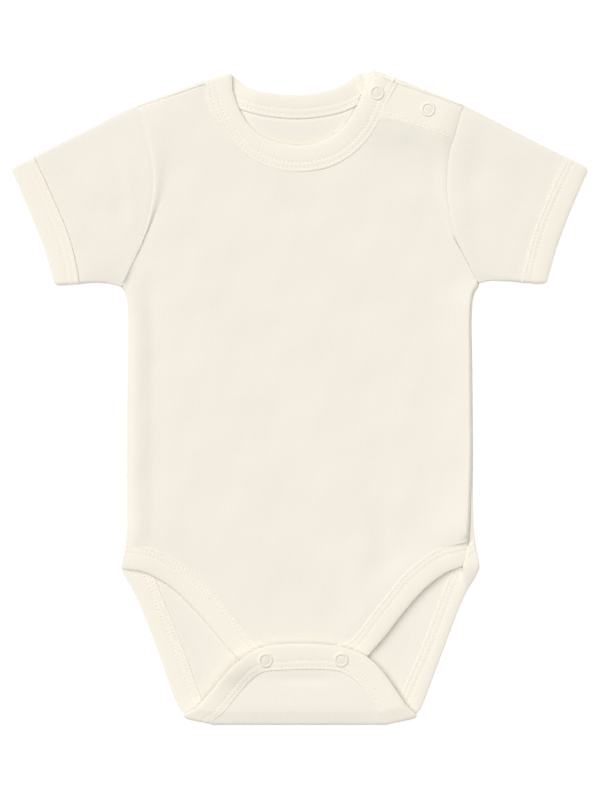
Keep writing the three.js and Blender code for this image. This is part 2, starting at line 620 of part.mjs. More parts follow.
// Snap: a ring with a cloth dome in its middle, turned to the slope of the cloth that it sits on
const snapProfile = [
  [0, 0],
  [SNAP_RADIUS - SNAP_BASE_HEIGHT, 0],
  [SNAP_RADIUS, SNAP_BASE_HEIGHT],
  [SNAP_RADIUS - SNAP_BASE_HEIGHT, SNAP_RING_HEIGHT],
  [SNAP_DOME_RADIUS + SNAP_BASE_HEIGHT, SNAP_RING_HEIGHT],
  [SNAP_DOME_RADIUS, SNAP_BASE_HEIGHT],
  [SNAP_DOME_RADIUS * SNAP_DOME_SHOULDER, SNAP_DOME_HEIGHT * SNAP_DOME_SHOULDER],
  [SNAP_DOME_RADIUS * SNAP_DOME_FLAT, SNAP_DOME_HEIGHT],
  [0, SNAP_DOME_HEIGHT],
].map(([radius, z]) => new THREE.Vector2(radius, z));

function addSnap({ name, x, y, layer }) {
  const top = {
    'neck rib': () => frontNeckRib[0][0].z + RIB_WALL / 2,
    'front': frontHeight,
    'flap rib': () => FLAP_END_HEIGHT + RIB_WALL / 2,
  }[layer];
  const under = {
    'neck rib': UNDERLAP_RIB_HEIGHT + RIB_WALL / 2,
    'front': (UNDERLAP_HEIGHT_AT_NECK + UNDERLAP_HEIGHT_AT_ARM + CLOTH_WALL) / 2,
    'flap rib': FRONT_HEM_HEIGHT + RIB_WALL / 2,
  }[layer];
  const slopeX = (top(x + SLOPE_STEP, y) - top(x - SLOPE_STEP, y)) / (2 * SLOPE_STEP);
  const slopeY = (top(x, y + SLOPE_STEP) - top(x, y - SLOPE_STEP)) / (2 * SLOPE_STEP);
  const upright = new THREE.Quaternion().setFromUnitVectors(
    new THREE.Vector3(0, 1, 0),
    new THREE.Vector3(-slopeX, -slopeY, 1).normalize(),
  );
  const clothTop = top(x, y) + (layer === 'front' ? CLOTH_WALL / 2 : 0);
  const cap = new THREE.LatheGeometry(snapProfile, SNAP_SEGMENTS);
  cap.applyQuaternion(upright).translate(x, y, clothTop + LAYER_GAP);
  addPiece(`snap_cap_${name}`, cap, SNAP_WHITE, SNAP_ROUGHNESS);

  const closure = new THREE.CylinderGeometry(CLOSURE_RADIUS, CLOSURE_RADIUS, CLOSURE_HEIGHT, SNAP_SEGMENTS);
  closure.rotateX(Math.PI / 2).translate(x, y, under + LAYER_GAP + CLOSURE_HEIGHT / 2);
  addPiece(`snap_closure_${name}`, closure, SNAP_WHITE, SNAP_ROUGHNESS);
}
SNAPS.forEach(addSnap);

// Origin at the middle of the outline, on the surface that the cloth lies on
const box = new THREE.Box3().setFromObject(part);
const middle = box.getCenter(new THREE.Vector3());
part.children.forEach((mesh) => mesh.geometry.translate(-middle.x, -middle.y, -box.min.z));

export default part;
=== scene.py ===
# %% [markdown]
# # A baby bodysuit, laid flat
# The real garment is cut from soft cotton interlock and bound with folded rib at the neck, cuffs and legs.
# It lies on its back with the front up. The flap at the crotch is the lower end of the back, folded forward
# and snapped on the front. Every piece below is a thin closed shell on the same lines as the imported model,
# worked out more finely, with its folds placed one by one. A cloth simulation isn't used: the photo shows
# cloth that was smoothed by hand, and folds listed one by one keep to it better than a drop would.

import bpy
import numpy as np
from mathutils.bvhtree import BVHTree
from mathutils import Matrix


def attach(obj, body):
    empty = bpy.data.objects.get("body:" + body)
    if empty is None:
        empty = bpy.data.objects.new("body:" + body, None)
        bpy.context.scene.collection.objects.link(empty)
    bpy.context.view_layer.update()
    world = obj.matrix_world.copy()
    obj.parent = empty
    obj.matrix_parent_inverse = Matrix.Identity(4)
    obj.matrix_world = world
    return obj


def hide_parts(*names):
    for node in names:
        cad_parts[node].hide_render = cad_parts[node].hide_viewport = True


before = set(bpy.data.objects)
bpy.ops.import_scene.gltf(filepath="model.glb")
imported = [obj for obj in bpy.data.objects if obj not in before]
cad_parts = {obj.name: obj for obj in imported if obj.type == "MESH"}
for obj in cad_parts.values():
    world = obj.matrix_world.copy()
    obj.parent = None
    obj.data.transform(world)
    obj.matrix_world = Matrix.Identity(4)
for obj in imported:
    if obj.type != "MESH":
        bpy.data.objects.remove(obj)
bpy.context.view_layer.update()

# %% [markdown]
# ## Sizes
# All lengths are in millimetres, as on a maker's pattern, and become metres only when a mesh is made. The
# pattern lines are short tables, one row for each place along a seam. The first two columns of a rib's
# table are its seam with the panel, the last two its folded free edge.

# %% Sizes of cloth, rib and thread
MM = 0.001
PATTERN_MIDDLE = np.array([0.147, -0.178, 0.0])
CLOTH_HALF = 0.5
RIB_HALF = 1.1
TUCK = 0.5
FOLD_TUCK = 0.9
STITCH_PITCH = 2.45

BACK_HEIGHT = 0.5
BACK_RIB_HEIGHT = 1.1
FRONT_SIDE_HEIGHT = 1.8
FRONT_RISE = 1.3
FRONT_RISE_WIDTH = 12.0
CROTCH_RISE_SHARE = 0.55
ARMHOLE_RISE = 0.8
UNDERLAP_RIB_HEIGHT = 3.6
UNDERLAP_HEIGHT_AT_NECK = 3.3
UNDERLAP_HEIGHT_AT_ARM = 2.0
FLAP_FOLD_HEIGHT = 6.1
FLAP_END_HEIGHT = 6.3
FOLD_SINK = 1.5
CUFF_TOP_HEIGHT = 3.8
SHOULDER_TURN_DEPTH = 2.4

# %% [markdown]
# The neckband is one strip: round the front of the neck, over the left shoulder, along the back of the neck
# and on to the underlap. Each table follows the seam and the folded edge from one shoulder to the other. A
# circle or an ellipse could stand for a neckline, but a sewn and laid one is never that even.

# %% Pattern lines of the neck
FRONT_NECK = np.array([
    [62.5, 197.8, 48.3, 204.2],
    [56.5, 186.7, 41.0, 193.7],
    [52.4, 177.8, 37.1, 185.7],
    [46.0, 166.4, 31.8, 176.2],
    [36.2, 155.6, 24.4, 168.3],
    [21.9, 146.7, 14.9, 162.6],
    [3.5, 142.6, 2.9, 159.7],
    [-14.9, 144.1, -10.5, 160.7],
    [-31.4, 151.4, -22.5, 165.1],
    [-44.5, 164.1, -32.1, 173.0],
    [-53.7, 176.8, -38.4, 183.2],
    [-58.7, 189.9, -42.2, 194.3],
])
BACK_NECK = np.array([
    [-53.3, 191.1, -40.0, 202.4],
    [-45.4, 185.7, -35.9, 199.0],
    [-35.9, 181.8, -30.2, 195.8],
    [-23.8, 178.4, -21.3, 193.4],
    [1.0, 176.3, 0.3, 191.9],
    [25.7, 180.0, 21.3, 195.5],
    [35.9, 184.2, 28.9, 199.0],
    [45.4, 189.5, 35.7, 204.3],
    [53.0, 195.3, 39.8, 205.6],
])
UNDERLAP_NECK = np.array([
    [57.7, 194.5, 42.1, 200.6],
    [56.0, 190.0, 40.4, 196.2],
    [54.2, 185.2, 38.6, 191.6],
])
LEFT_SHOULDER_FOLD = np.array([-60.6, 201.0, -43.5, 206.5])
RIGHT_SHOULDER_FOLD = np.array([61.3, 202.6, 45.4, 208.3])

# %% [markdown]
# The armholes run down from the shoulders, and the sides go on from there to the legs. A sleeve has its own
# lines for the top fold, the underarm and both ends of the cuff. Left and right are measured apart, because
# cloth that is laid by hand is never the same on both sides.

# %% Pattern lines of the armholes, sides and sleeves
LEFT_ARMHOLE = np.array([
    [-102.2, 185.6], [-98.4, 170.2], [-93.7, 151.8], [-92.2, 134.0],
    [-94.9, 113.7], [-101.3, 94.6], [-109.5, 77.5], [-113.0, 69.7],
])
RIGHT_ARMHOLE = np.array([
    [103.6, 185.6], [99.1, 169.5], [94.9, 151.8], [93.7, 131.4],
    [95.9, 113.7], [102.6, 95.2], [110.8, 78.1], [114.3, 72.0],
])
LEFT_SIDE = np.array([
    [-112.9, 70], [-110.2, 64], [-108.8, 52], [-109.0, 20],
    [-109.5, -34], [-109.3, -66], [-109.4, -84], [-109.9, -92],
])
RIGHT_SIDE = np.array([
    [113.9, 70], [110.3, 64], [109.2, 52], [109.4, 20],
    [109.8, -34], [108.9, -66], [107.9, -84], [107.1, -92],
])
RIGHT_OUTLINE = np.array([
    [114.1, 70], [110.6, 64], [109.5, 52], [109.8, 20],
    [110.3, -34], [110.0, -66], [110.6, -84], [111.1, -92],
])
SLEEVES = {
    "left": {
        "armhole": LEFT_ARMHOLE,
        "top": np.array([[-102.2, 185.6], [-111.4, 181.7], [-130.5, 172.1], [-150.8, 161.9], [-168.4, 152.9]]),
        "under": np.array([[-113.0, 69.7], [-121.6, 71.8], [-129.9, 72.2], [-139.4, 71.5]]),
        "cuff_seam": np.array([[-168.4, 152.9], [-158.4, 131.4], [-145.7, 101.0], [-140.6, 80.0], [-139.4, 71.5]]),
        "cuff_edge": np.array([[-183.3, 144.9], [-171.8, 118.7], [-161.9, 93.3], [-155.4, 71.0]]),
    },
    "right": {
        "armhole": RIGHT_ARMHOLE,
        "top": np.array([[103.6, 185.6], [112.1, 181.4], [134.9, 169.5], [152.7, 160.5], [169.5, 152.0]]),
        "under": np.array([[114.3, 72.0], [121.0, 73.4], [130.5, 73.2], [140.7, 72.5]]),
        "cuff_seam": np.array([[169.5, 152.0], [159.7, 131.4], [149.5, 106.7], [143.2, 83.2], [140.7, 72.5]]),
        "cuff_edge": np.array([[183.6, 144.7], [172.3, 118.7], [162.8, 93.3], [156.8, 71.8]]),
    },
}

# %% [markdown]
# The front's leg rib runs without a break from one side to the other. The back's rib follows the back of
# each leg, turns with the cloth at the bottom fold and runs round the flap. The fold itself is one row on
# each side.

# %% Pattern lines of the legs and the flap
FRONT_LEG = np.array([
    [-110.0, -93.0, -113.5, -109.2],
    [-94.9, -95.6, -99.4, -111.1],
    [-84.1, -99.7, -89.9, -115.4],
    [-73.3, -105.9, -80.3, -121.6],
    [-53.0, -124.5, -61.3, -140.7],
    [-42.9, -136.8, -51.1, -153.0],
    [-33.3, -148.9, -42.2, -162.9],
    [-26.4, -155.3, -34.0, -169.5],
    [-9.8, -158.9, -11.1, -175.3],
    [14.3, -158.9, 15.6, -175.3],
    [31.4, -154.9, 39.1, -168.6],
    [38.4, -148.0, 46.7, -161.0],
    [47.3, -135.9, 56.2, -149.9],
    [56.8, -124.1, 65.7, -137.5],
    [65.7, -113.0, 74.6, -127.0],
    [75.9, -104.1, 83.5, -118.4],
    [87.3, -96.5, 93.7, -111.4],
    [107.1, -91.6, 104.6, -107.4],
])
BACK_LEG_LEFT = np.array([
    [-110.0, -93.0, -113.5, -108.6],
    [-99.4, -101.0, -111.4, -113.3],
    [-92.4, -113.0, -106.6, -121.3],
    [-87.3, -125.4, -101.7, -131.4],
    [-75.7, -153.7, -90.8, -159.4],
    [-64.5, -184.5, -79.7, -190.5],
    [-59.7, -196.2, -75.9, -198.6],
])
BACK_LEG_RIGHT = np.array([
    [111.1, -91.4, 114.5, -108.2],
    [101.3, -100.3, 112.1, -113.7],
    [94.9, -113.7, 107.6, -121.3],
    [89.5, -127.0, 102.6, -131.4],
    [78.1, -157.5, 91.8, -159.4],
    [66.0, -184.8, 81.0, -188.6],
    [60.9, -196.2, 77.2, -198.1],
])
LEFT_FLAP_FOLD = np.array([-54.9, -208.3, -73.3, -204.3])
RIGHT_FLAP_FOLD = np.array([55.6, -208.3, 74.3, -204.0])
FLAP_LEFT = np.array([
    [-47.9, -200.4, -65.7, -197.6],
    [-36.5, -186.4, -53.0, -183.2],
    [-30.8, -180.0, -45.4, -174.3],
    [-25.1, -175.6, -37.1, -166.4],
])
FLAP_END = np.array([
    [-19.4, -174.1, -28.3, -160.7],
    [-13.0, -173.7, -18.7, -157.6],
    [6.7, -173.0, 6.7, -156.3],
    [24.4, -174.1, 28.9, -158.9],
])
FLAP_RIGHT = np.array([
    [50.8, -200.4, 67.6, -195.4],
    [42.9, -188.6, 54.9, -176.8],
    [37.5, -182.2, 47.3, -168.3],
    [31.4, -177.2, 38.4, -162.1],
])

# %% [markdown]
# ## Curves
# A seam is a smooth curve through the rows of its table. It could be a Blender curve object, but as plain
# arrays its points can be shared by the panel on one side of the seam and the rib on the other, so the two
# meet everywhere.

# %% Smooth curves through the tables
def smooth_curve(points, steps):
    """Centripetal Catmull-Rom curve: between two points it is a cubic whose end slopes come from the
    neighbours, with knots spaced by the square root of the distance. Returns points at equal steps from row
    to row."""
    p = np.asarray(points, float)
    q = np.vstack([2 * p[0] - p[1], p, 2 * p[-1] - p[-2]])
    t = np.linspace(0, len(p) - 1, steps + 1)
    i = np.minimum(t.astype(int), len(p) - 2)
    w = (t - i)[:, None]
    p0, p1, p2, p3 = q[i], q[i + 1], q[i + 2], q[i + 3]
    d0, d1, d2 = (np.sqrt(np.linalg.norm(b - a, axis=1))[:, None] for a, b in ((p0, p1), (p1, p2), (p2, p3)))
    start = ((p1 - p0) / d0 - (p2 - p0) / (d0 + d1) + (p2 - p1) / d1) * d1
    end = ((p2 - p1) / d1 - (p3 - p1) / (d1 + d2) + (p3 - p2) / d2) * d1
    return (
        p1 + start * w + (3 * (p2 - p1) - 2 * start - end) * w**2 + (2 * (p1 - p2) + start + end) * w**3
    )


def lengths_along(points):
    """Length from the first point to each point, adding up the straight steps."""
    steps = np.linalg.norm(np.diff(points, axis=0), axis=1)
    return np.concatenate([[0.0], np.cumsum(steps)])


def even_curve(points, steps):
    """The same curve, at equal lengths."""
    fine = smooth_curve(points, 60 * len(points))
    length = lengths_along(fine)
    at = np.linspace(0, length[-1], steps + 1)
    return np.column_stack([np.interp(at, length, fine[:, k]) for k in range(fine.shape[1])])


def seam_and_edge(table, steps):
    """Matching points of a rib's seam and free edge."""
    both = np.asarray(table, float)
    return smooth_curve(both[:, :2], steps), smooth_curve(both[:, 2:], steps)


def smoothstep(x, low, high):
    """0 below low, 1 above high, and an S curve between them."""
    t = np.clip((x - low) / (high - low), 0, 1)
    return t * t * (3 - 2 * t)


def at_height(points, z):
    """Points of the pattern lifted to z."""
    return np.column_stack([points, np.broadcast_to(z, len(points))])


print("front neck seam, mm:", round(lengths_along(even_curve(FRONT_NECK[:, :2], 200))[-1], 1))

# %% [markdown]
# ## How high the front lies
# The front rests on the back at its sides, stands a little off it inside, and is lifted where more layers
# On top of that come the soft folds that the photo shows: each is a straight ridge or trough with a
# bell-shaped section, listed one by one, no two alike.

# %% Height of the front
LIFTS = [  # x0, y0, x1, y1, height, plateau, spread
    (56, 190, 80, 182, 4.0, 10, 20),
    (-56, 192, -57, 191, 0.9, 8, 25),
    (-108, -96, -107, -96, 1.8, 4, 22),
    (106, -96, 105, -96, 1.8, 4, 22),
    (76, -112, 46, -140, 1.3, 4, 12),
]
MAIN_FOLDS = [  # x0, y0, x1, y1, height, width
    (-92, 66, -91, -84, -0.5, 7),
    (49, -72, 55, -104, -0.5, 7),
    (40, -102, 36, -150, 0.4, 9),
]
SOFT_FOLDS = [
    (-95, 72, -95, 40, -0.3, 5),
    (-95, -62, -97, -84, -0.3, 5),
    (105, 50, 104, -70, -0.25, 4),
    (-31, -150, 26, -149, 0.25, 8),
    (-60, 60, -52, 5, 0.18, 11),
    (-40, -20, -46, -70, -0.16, 10),
    (20, 95, 26, 30, 0.15, 14),
    (60, 110, 66, 50, -0.16, 12),
    (-20, 40, -12, -40, -0.12, 12),
    (62, -20, 68, -66, 0.20, 9),
    (-70, -40, -66, -88, 0.16, 8),
    (70, 160, 88, 150, -0.30, 5),
    (-30, 120, 10, 118, -0.12, 9),
]
WAVES = [  # wavelength, direction in degrees, height, start
    (61, 12, 0.16, 0.3), (47, 74, 0.12, 1.9), (38, 141, 0.10, 4.0), (29, 33, 0.06, 2.7), (23, 105, 0.045, 5.1),
    (17, 163, 0.03, 0.9),
]


# %% [markdown]
# The heights are sums of simple forms. They could be modifiers stacked on a mesh, but as functions of the
# place on the pattern they serve the panel, its rib and its stitches alike.

# %% Helpers for heights
def waves(x, y):
    """Faint unevenness of cloth smoothed by hand: a sum of long sine waves in several directions."""
    return sum(h * np.sin(2 * np.pi * (x * np.cos(np.radians(a)) + y * np.sin(np.radians(a))) / w + start)
               for w, a, h, start in WAVES)


def side_at(y, line):
    """x of a side line at height y."""
    order = np.argsort(line[:, 1])
    return np.interp(y, line[order, 1], line[order, 0])


def distance_to_line(x, y, x0, y0, x1, y1):
    """Distance to the nearest point between two ends."""
    dx, dy = x1 - x0, y1 - y0
    t = np.clip(((x - x0) * dx + (y - y0) * dy) / (dx * dx + dy * dy), 0, 1)
    return np.hypot(x - x0 - t * dx, y - y0 - t * dy)


def fold_heights(x, y, folds):
    """Sum of bell-shaped ridges and troughs."""
    return sum(h * np.exp(-((distance_to_line(x, y, x0, y0, x1, y1) / w) ** 2)) for x0, y0, x1, y1, h, w in folds)


LEFT_LINE = np.vstack([LEFT_ARMHOLE, LEFT_SIDE[1:]])
RIGHT_LINE = np.vstack([RIGHT_ARMHOLE, RIGHT_SIDE[1:]])


# %% [markdown]
# Three functions give the height of all that lies on top: the front, the rolls of cloth along both sides,
# and the flap, which bends down into the bottom fold.

# %% Heights of front, side rolls and flap
def front_height(x, y, folds=MAIN_FOLDS):
    """Side height, plus a rise that settles inside the sides, plus lifts with a flat middle, plus folds."""
    inside = np.maximum(0, np.minimum(side_at(y, RIGHT_LINE) - x, x - side_at(y, LEFT_LINE)))
    settled = 1 - np.exp(-inside / FRONT_RISE_WIDTH)
    armhole = ARMHOLE_RISE * smoothstep(y, 62, 90)
    rise = FRONT_RISE * (CROTCH_RISE_SHARE + (1 - CROTCH_RISE_SHARE) * smoothstep(y, -155, -90)) - armhole
    lifts = sum(
        h * np.exp(-((np.maximum(0, distance_to_line(x, y, x0, y0, x1, y1) - flat) / spread) ** 2))
        for x0, y0, x1, y1, h, flat, spread in LIFTS
    )
    return FRONT_SIDE_HEIGHT + armhole + rise * settled + lifts + fold_heights(x, y, folds) * settled


def side_rolls(x, y):
    """Cloth rolled up beside both side folds, on the left in a narrow ridge, on the right in a broad one."""
    left, right = x - side_at(y, LEFT_LINE), side_at(y, RIGHT_LINE) - x
    here = smoothstep(y, -104, -84) * (1 - smoothstep(y, 58, 78))
    left_roll = 1.15 * smoothstep(left, 0, 5.5) * (1 - smoothstep(left, 5.5, 17))
    at_edge = np.maximum(smoothstep(right, -0.3, 1.9), 0.4 * smoothstep(-y, 20, 85))
    right_roll = 4.0 * np.clip(1 - right / 30, 0, 1) ** 2 * at_edge
    return here * (left_roll + right_roll)


def flap_height(y):
    """Level at the snaps, lower towards the fold, and bending down into it ever more steeply."""
    bend = np.clip((-199.3 - y) / 9, 0, 1) ** 3
    return FLAP_FOLD_HEIGHT + (FLAP_END_HEIGHT - FLAP_FOLD_HEIGHT) * smoothstep(y, -210, -186) - FOLD_SINK * bend


print("front height at the middle and at the placket:", front_height(0.0, 0.0), front_height(81.6, 182.2))

# %% [markdown]
# ## Closed shells of cloth
# Cloth could be a single sheet with a Solidify modifier. Here the two skins and the rim are made directly,
# because the wall then thins out to a soft round edge at every seam and fold, and the mesh is closed in the
# same step. Each point also carries its place in the knit, in metres across and along the grain, for the
# material to follow.

# %% Build a shell
def make_mesh(name, points, faces, uv=None):
    """An object at the origin from points in millimetres on the pattern."""
    mesh = bpy.data.meshes.new(name)
    faces = faces if isinstance(faces, list) else faces.tolist()
    mesh.from_pydata(((points - PATTERN_MIDDLE) * MM).tolist(), [], faces)
    mesh.polygons.foreach_set("use_smooth", np.ones(len(mesh.polygons), bool))
    if uv is not None:
        mesh.uv_layers.new(name="grain").data.foreach_set("uv", (uv * MM).ravel())
    mesh.update()
    piece = bpy.data.objects.new(name, mesh)
    bpy.context.collection.objects.link(piece)
    return piece


def grid_cells(rows, columns, closed):
    """Corner numbers of each cell of a grid, which may close on itself across its columns."""
    index = np.arange(rows * columns).reshape(rows, columns)
    across = np.roll(index, -1, axis=1) if closed else index[:, 1:]
    index = index if closed else index[:, :-1]
    return np.stack([index[:-1], across[:-1], across[1:], index[1:]], axis=-1)


def grid_normals(middle, cells):
    """Unit normals: each cell's normal is the cross product of its diagonals, and a point takes the sum of
    those of its cells."""
    p = middle.reshape(-1, 3)
    cells = cells.reshape(-1, 4)
    face = np.cross(p[cells[:, 2]] - p[cells[:, 0]], p[cells[:, 3]] - p[cells[:, 1]])
    normals = np.zeros_like(p)
    for corner in range(4):
        for axis in range(3):
            normals[:, axis] += np.bincount(cells[:, corner], face[:, axis], len(p))
    size = np.linalg.norm(normals, axis=1, keepdims=True)
    return (normals / np.where(size > 0, size, 1)).reshape(middle.shape)


def cloth_shell(name, middle, half, grain, closed=False, kept=None):
    """Closed wall round a grid of middle points: the skins lie half a wall to each side along the normals,
    and a rim joins them wherever a cell has no neighbour."""
    rows, columns = middle.shape[:2]
    cells = grid_cells(rows, columns, closed)
    cells = cells.reshape(-1, 4) if kept is None else cells[kept]
    normals = grid_normals(middle, cells)
    points = middle.reshape(-1, 3)
    offset = normals.reshape(-1, 3) * np.broadcast_to(half, (rows, columns)).reshape(-1, 1)
    count = len(points)
    ends = np.roll(cells, -1, axis=1)
    is_open = ~np.isin(cells * count + ends, ends * count + cells)
    i, j = cells[is_open], ends[is_open]
    quads = np.vstack([cells, cells[:, ::-1] + count, np.stack([j, i, i + count, j + count], axis=1)])
    skins = np.vstack([points + offset, points - offset])
    wide = np.broadcast_to(grain, (rows, columns, 2)).reshape(-1, 2)
    uv = np.vstack([wide, wide])[quads]
    if closed:
        period = uv[..., 0].max()
        torn = np.ptp(uv[..., 0], axis=1) > period / 2
        uv[torn, :, 0] = np.where(uv[torn, :, 0] < period / 2, uv[torn, :, 0] + period, uv[torn, :, 0])
    used, faces = np.unique(quads, return_inverse=True)
    piece = make_mesh(name, skins[used], faces.reshape(-1, 4), uv)
    print(name, "triangles:", 2 * len(quads))
    return piece, normals


# %% [markdown]
# Cloth ends in two ways. A seam's edge is thin and round, and a fold turns the wall back on itself in a
# half circle. Both could be a bevel. As formulas they keep one size wherever the cloth is seamed or folded.

# %% Edges, folds and areas
def middle_area(middle, closed=False, kept=None):
    """Area of the middle surface in square metres: half the length of each cell's diagonals' cross
    product."""
    cells = grid_cells(*middle.shape[:2], closed)
    cells = cells.reshape(-1, 4) if kept is None else cells[kept]
    p = middle.reshape(-1, 3)
    face = np.cross(p[cells[:, 2]] - p[cells[:, 0]], p[cells[:, 3]] - p[cells[:, 1]])
    return float(np.linalg.norm(face, axis=1).sum() / 2) * MM**2


def round_edge(distance, radius, half, thinnest=0.12):
    """Half wall that grows from a thin edge as a quarter circle does."""
    t = np.clip(distance / radius, 0, 1)
    return half * (thinnest + (1 - thinnest) * np.sqrt(1 - (1 - t) ** 2))


def turn(outline, outward, low, high, half, steps):
    """Half turn of a wall round a fold on the outline: a half circle between the two heights. Points are
    ordered (step, place on the fold, xyz), from the lower side to the upper one."""
    radius = np.broadcast_to((np.asarray(high, float) - low) / 2, len(outline))
    angle = np.linspace(-np.pi / 2, np.pi / 2, steps + 1)[:, None]
    reach = radius * (np.cos(angle) - 1) - half
    plan = outline + reach[..., None] * outward
    return np.concatenate([plan, (low + radius + radius * np.sin(angle))[..., None]], axis=-1)


def square_to(a, b, hint):
    """Unit vector at a right angle to the line from a to b, on the side of hint."""
    d = np.array([a[1] - b[1], b[0] - a[0]], float)
    d /= np.linalg.norm(d)
    return d if d @ np.asarray(hint) > 0 else -d


# %% [markdown]
# ## Front
# One piece, neck to crotch. Its grid is a fan of straight lines from the neck seam out to the armholes,
# sides, legs and lower edge, so that no line crosses the neck. Along the ribs the cloth runs a little way
# into the binding, and along the armholes it dips into the seam.

# %% Lines round the front
ARM, SIDE, LEG, HEM = 36, 32, 52, 22
fan = 2 * (ARM + SIDE + LEG) + HEM
neck_seam, neck_edge = seam_and_edge(np.vstack([FRONT_NECK, [-60.2, 197.6, -43.0, 203.0]]), fan)
leg_seam, leg_edge = seam_and_edge(FRONT_LEG, 2 * LEG + HEM)


def tucked(seam, edge, depth=TUCK):
    """The seam moved into its rib by a short way."""
    width = np.linalg.norm(edge - seam, axis=1, keepdims=True)
    return seam + (edge - seam) * (depth / width)


SEAM_OVERLAP = 0.3
ARMHOLE_SEAM = 1.1
BODY_ROLL = {"left": 0.55, "right": 0.3}
SLEEVE_ROLL = {"left": 0.3, "right": 0.55}
right_arm = even_curve(RIGHT_ARMHOLE, ARM)
left_arm = even_curve(LEFT_ARMHOLE, ARM)
right_arm += np.column_stack([np.full(ARM + 1, SEAM_OVERLAP), np.zeros(ARM + 1)])
left_arm -= np.column_stack([np.full(ARM + 1, SEAM_OVERLAP), np.zeros(ARM + 1)])
right_arm[0], left_arm[0] = (103.9, 184.3), (-102.3, 183.9)
outer = np.vstack([
    right_arm[:-1],
    even_curve(RIGHT_SIDE, SIDE)[:-1],
    tucked(leg_seam, leg_edge)[::-1],
    even_curve(LEFT_SIDE, SIDE)[:-1][::-1],
    left_arm[:-1][::-1],
])
inner = tucked(neck_seam, neck_edge)

# %% [markdown]
# The rows of the grid lie close together beside a seam, where the wall thins and the cloth rolls, and are
# evenly spaced between.

# %% Rows from neck to outline
EDGE_STEPS = np.array([0, 0.12, 0.35, 0.7, 1.2, 1.9, 2.8, 4.0, 5.5, 7.2])
MIDDLE_ROWS = 96


def seam_roll(distance):
    """Cloth beside the armhole seam rolls over the seam allowances: it climbs out of the seam and then
    settles."""
    return smoothstep(distance, -0.5, 2.4) * np.exp(-((np.maximum(distance - 2.4, 0) / 8) ** 2))


def fan_grid(inner, outer):
    """Straight lines between two curves, with set distances from both ends and equal steps between. Also
    returns how far each point is from the outer end."""
    length = np.linalg.norm(outer - inner, axis=1)
    near = EDGE_STEPS[:, None] / length
    between = np.linspace(near[-1], 1 - near[-1], MIDDLE_ROWS + 2)[1:-1]
    share = np.vstack([near, between, 1 - near[::-1]])
    plan = inner + (outer - inner) * share[..., None]
    return plan, (1 - share) * length


# %% [markdown]
# Along the shoulder opening the front's edge is turned under as a wide hem and sewn with two rows. It could
# be a second strip under the first. A soft step in the height and a lighter tone show the same, and the hem
# stays one with the panel, as it is.

# %% Hem of the shoulder opening
UPPER_PLACKET_ROW = np.array([
    [56.2, 179.4], [63.8, 177.4], [70.5, 175.3], [79.7, 172.1], [86.7, 169.6], [94.9, 167.0],
])
PLACKET_ROWS = [UPPER_PLACKET_ROW, UPPER_PLACKET_ROW + (0.6, -2.3)]


def doubled(x, y):
    """1 above the lower row of the placket's stitches, where the shoulder edge is turned under as a wide hem,
    and 0 below it, with a soft step between."""
    row = np.interp(x, PLACKET_ROWS[1][:, 0], PLACKET_ROWS[1][:, 1])
    return smoothstep(y - row, -2.6, -0.8) * smoothstep(x, 48, 54)


def placket_step(x, y):
    """The doubled hem stands this much higher."""
    return 0.4 * doubled(x, y)


# %% [markdown]
# All that lifts or lowers the front is added up at every point of the grid: the height, the folds, the
# faint waves of cloth smoothed by hand, the rolls along sides and armholes, and the hem. The wall thins at
# the sides and at the armholes.

# %% Front panel
plan, from_outer = fan_grid(inner, outer)
x, y = plan[..., 0], plan[..., 1]
at_arm = np.zeros(fan + 1, bool)
at_arm[:ARM] = at_arm[-ARM:] = True
at_side = np.zeros(fan + 1, bool)
at_side[ARM:ARM + SIDE] = at_side[-ARM - SIDE:-ARM] = True
z = front_height(x, y, MAIN_FOLDS + SOFT_FOLDS) + waves(x, y) * smoothstep(from_outer, 0, 15)
arm_taper = np.zeros(fan + 1)
arm_taper[:ARM + 1] = np.sin(np.pi * np.linspace(0, 1, ARM + 1)) ** 0.5
arm_taper[-ARM - 1:] = arm_taper[:ARM + 1]
roll = np.where(np.arange(fan + 1) > fan / 2, BODY_ROLL["left"], BODY_ROLL["right"]) * seam_roll(from_outer)
z = z + side_rolls(x, y) + arm_taper * (ARMHOLE_SEAM * np.exp(-((from_outer / 16) ** 2)) + roll)
z = z - 0.75 * np.exp(-((from_outer / 1.4) ** 2)) * at_side
z = z + placket_step(x, y)
front_middle = np.dstack([x, y, z])
half = np.where(at_side, round_edge(from_outer, 0.9, CLOTH_HALF), CLOTH_HALF)
half = np.where(at_arm, round_edge(from_outer, 0.5, CLOTH_HALF, 0.75), half)
half[:, 0] = half[:, -1] = 0.2
front_panel, _ = cloth_shell("front_panel_cloth", front_middle, half, plan)
front_area = middle_area(front_middle)
places = np.empty(3 * len(front_panel.data.vertices))
front_panel.data.vertices.foreach_get("co", places)
places = places.reshape(-1, 3) / MM + PATTERN_MIDDLE
twice = front_panel.data.attributes.new("doubled", "FLOAT", "POINT")
twice.data.foreach_set("value", doubled(places[:, 0], places[:, 1]))
print("front, square metres:", round(front_area, 4))

# %% [markdown]
# ## Back
# The back is cut longer than the front. At the left shoulder it wraps forward to the seam, at the right
# shoulder it folds forward as the underlap of the opening, and its lower end turns up into the flap. Its
# grid is rows across, from edge to edge. Cells beside the neck, where the wraps have no cloth between them,
# are left out.

# %% Lines round the back
SHOULDER, NECK = 20, 66
BACK_COLUMNS = 2 * SHOULDER + NECK
TURN = 10
UP, DOWN = (0, 1), (0, -1)
left_corner, right_corner = LEFT_SHOULDER_FOLD[:2], RIGHT_SHOULDER_FOLD[:2]
left_tip, right_tip = LEFT_ARMHOLE[0], RIGHT_ARMHOLE[0]
left_outward = square_to(left_tip, left_corner, UP)
right_outward = square_to(right_tip, right_corner, UP)


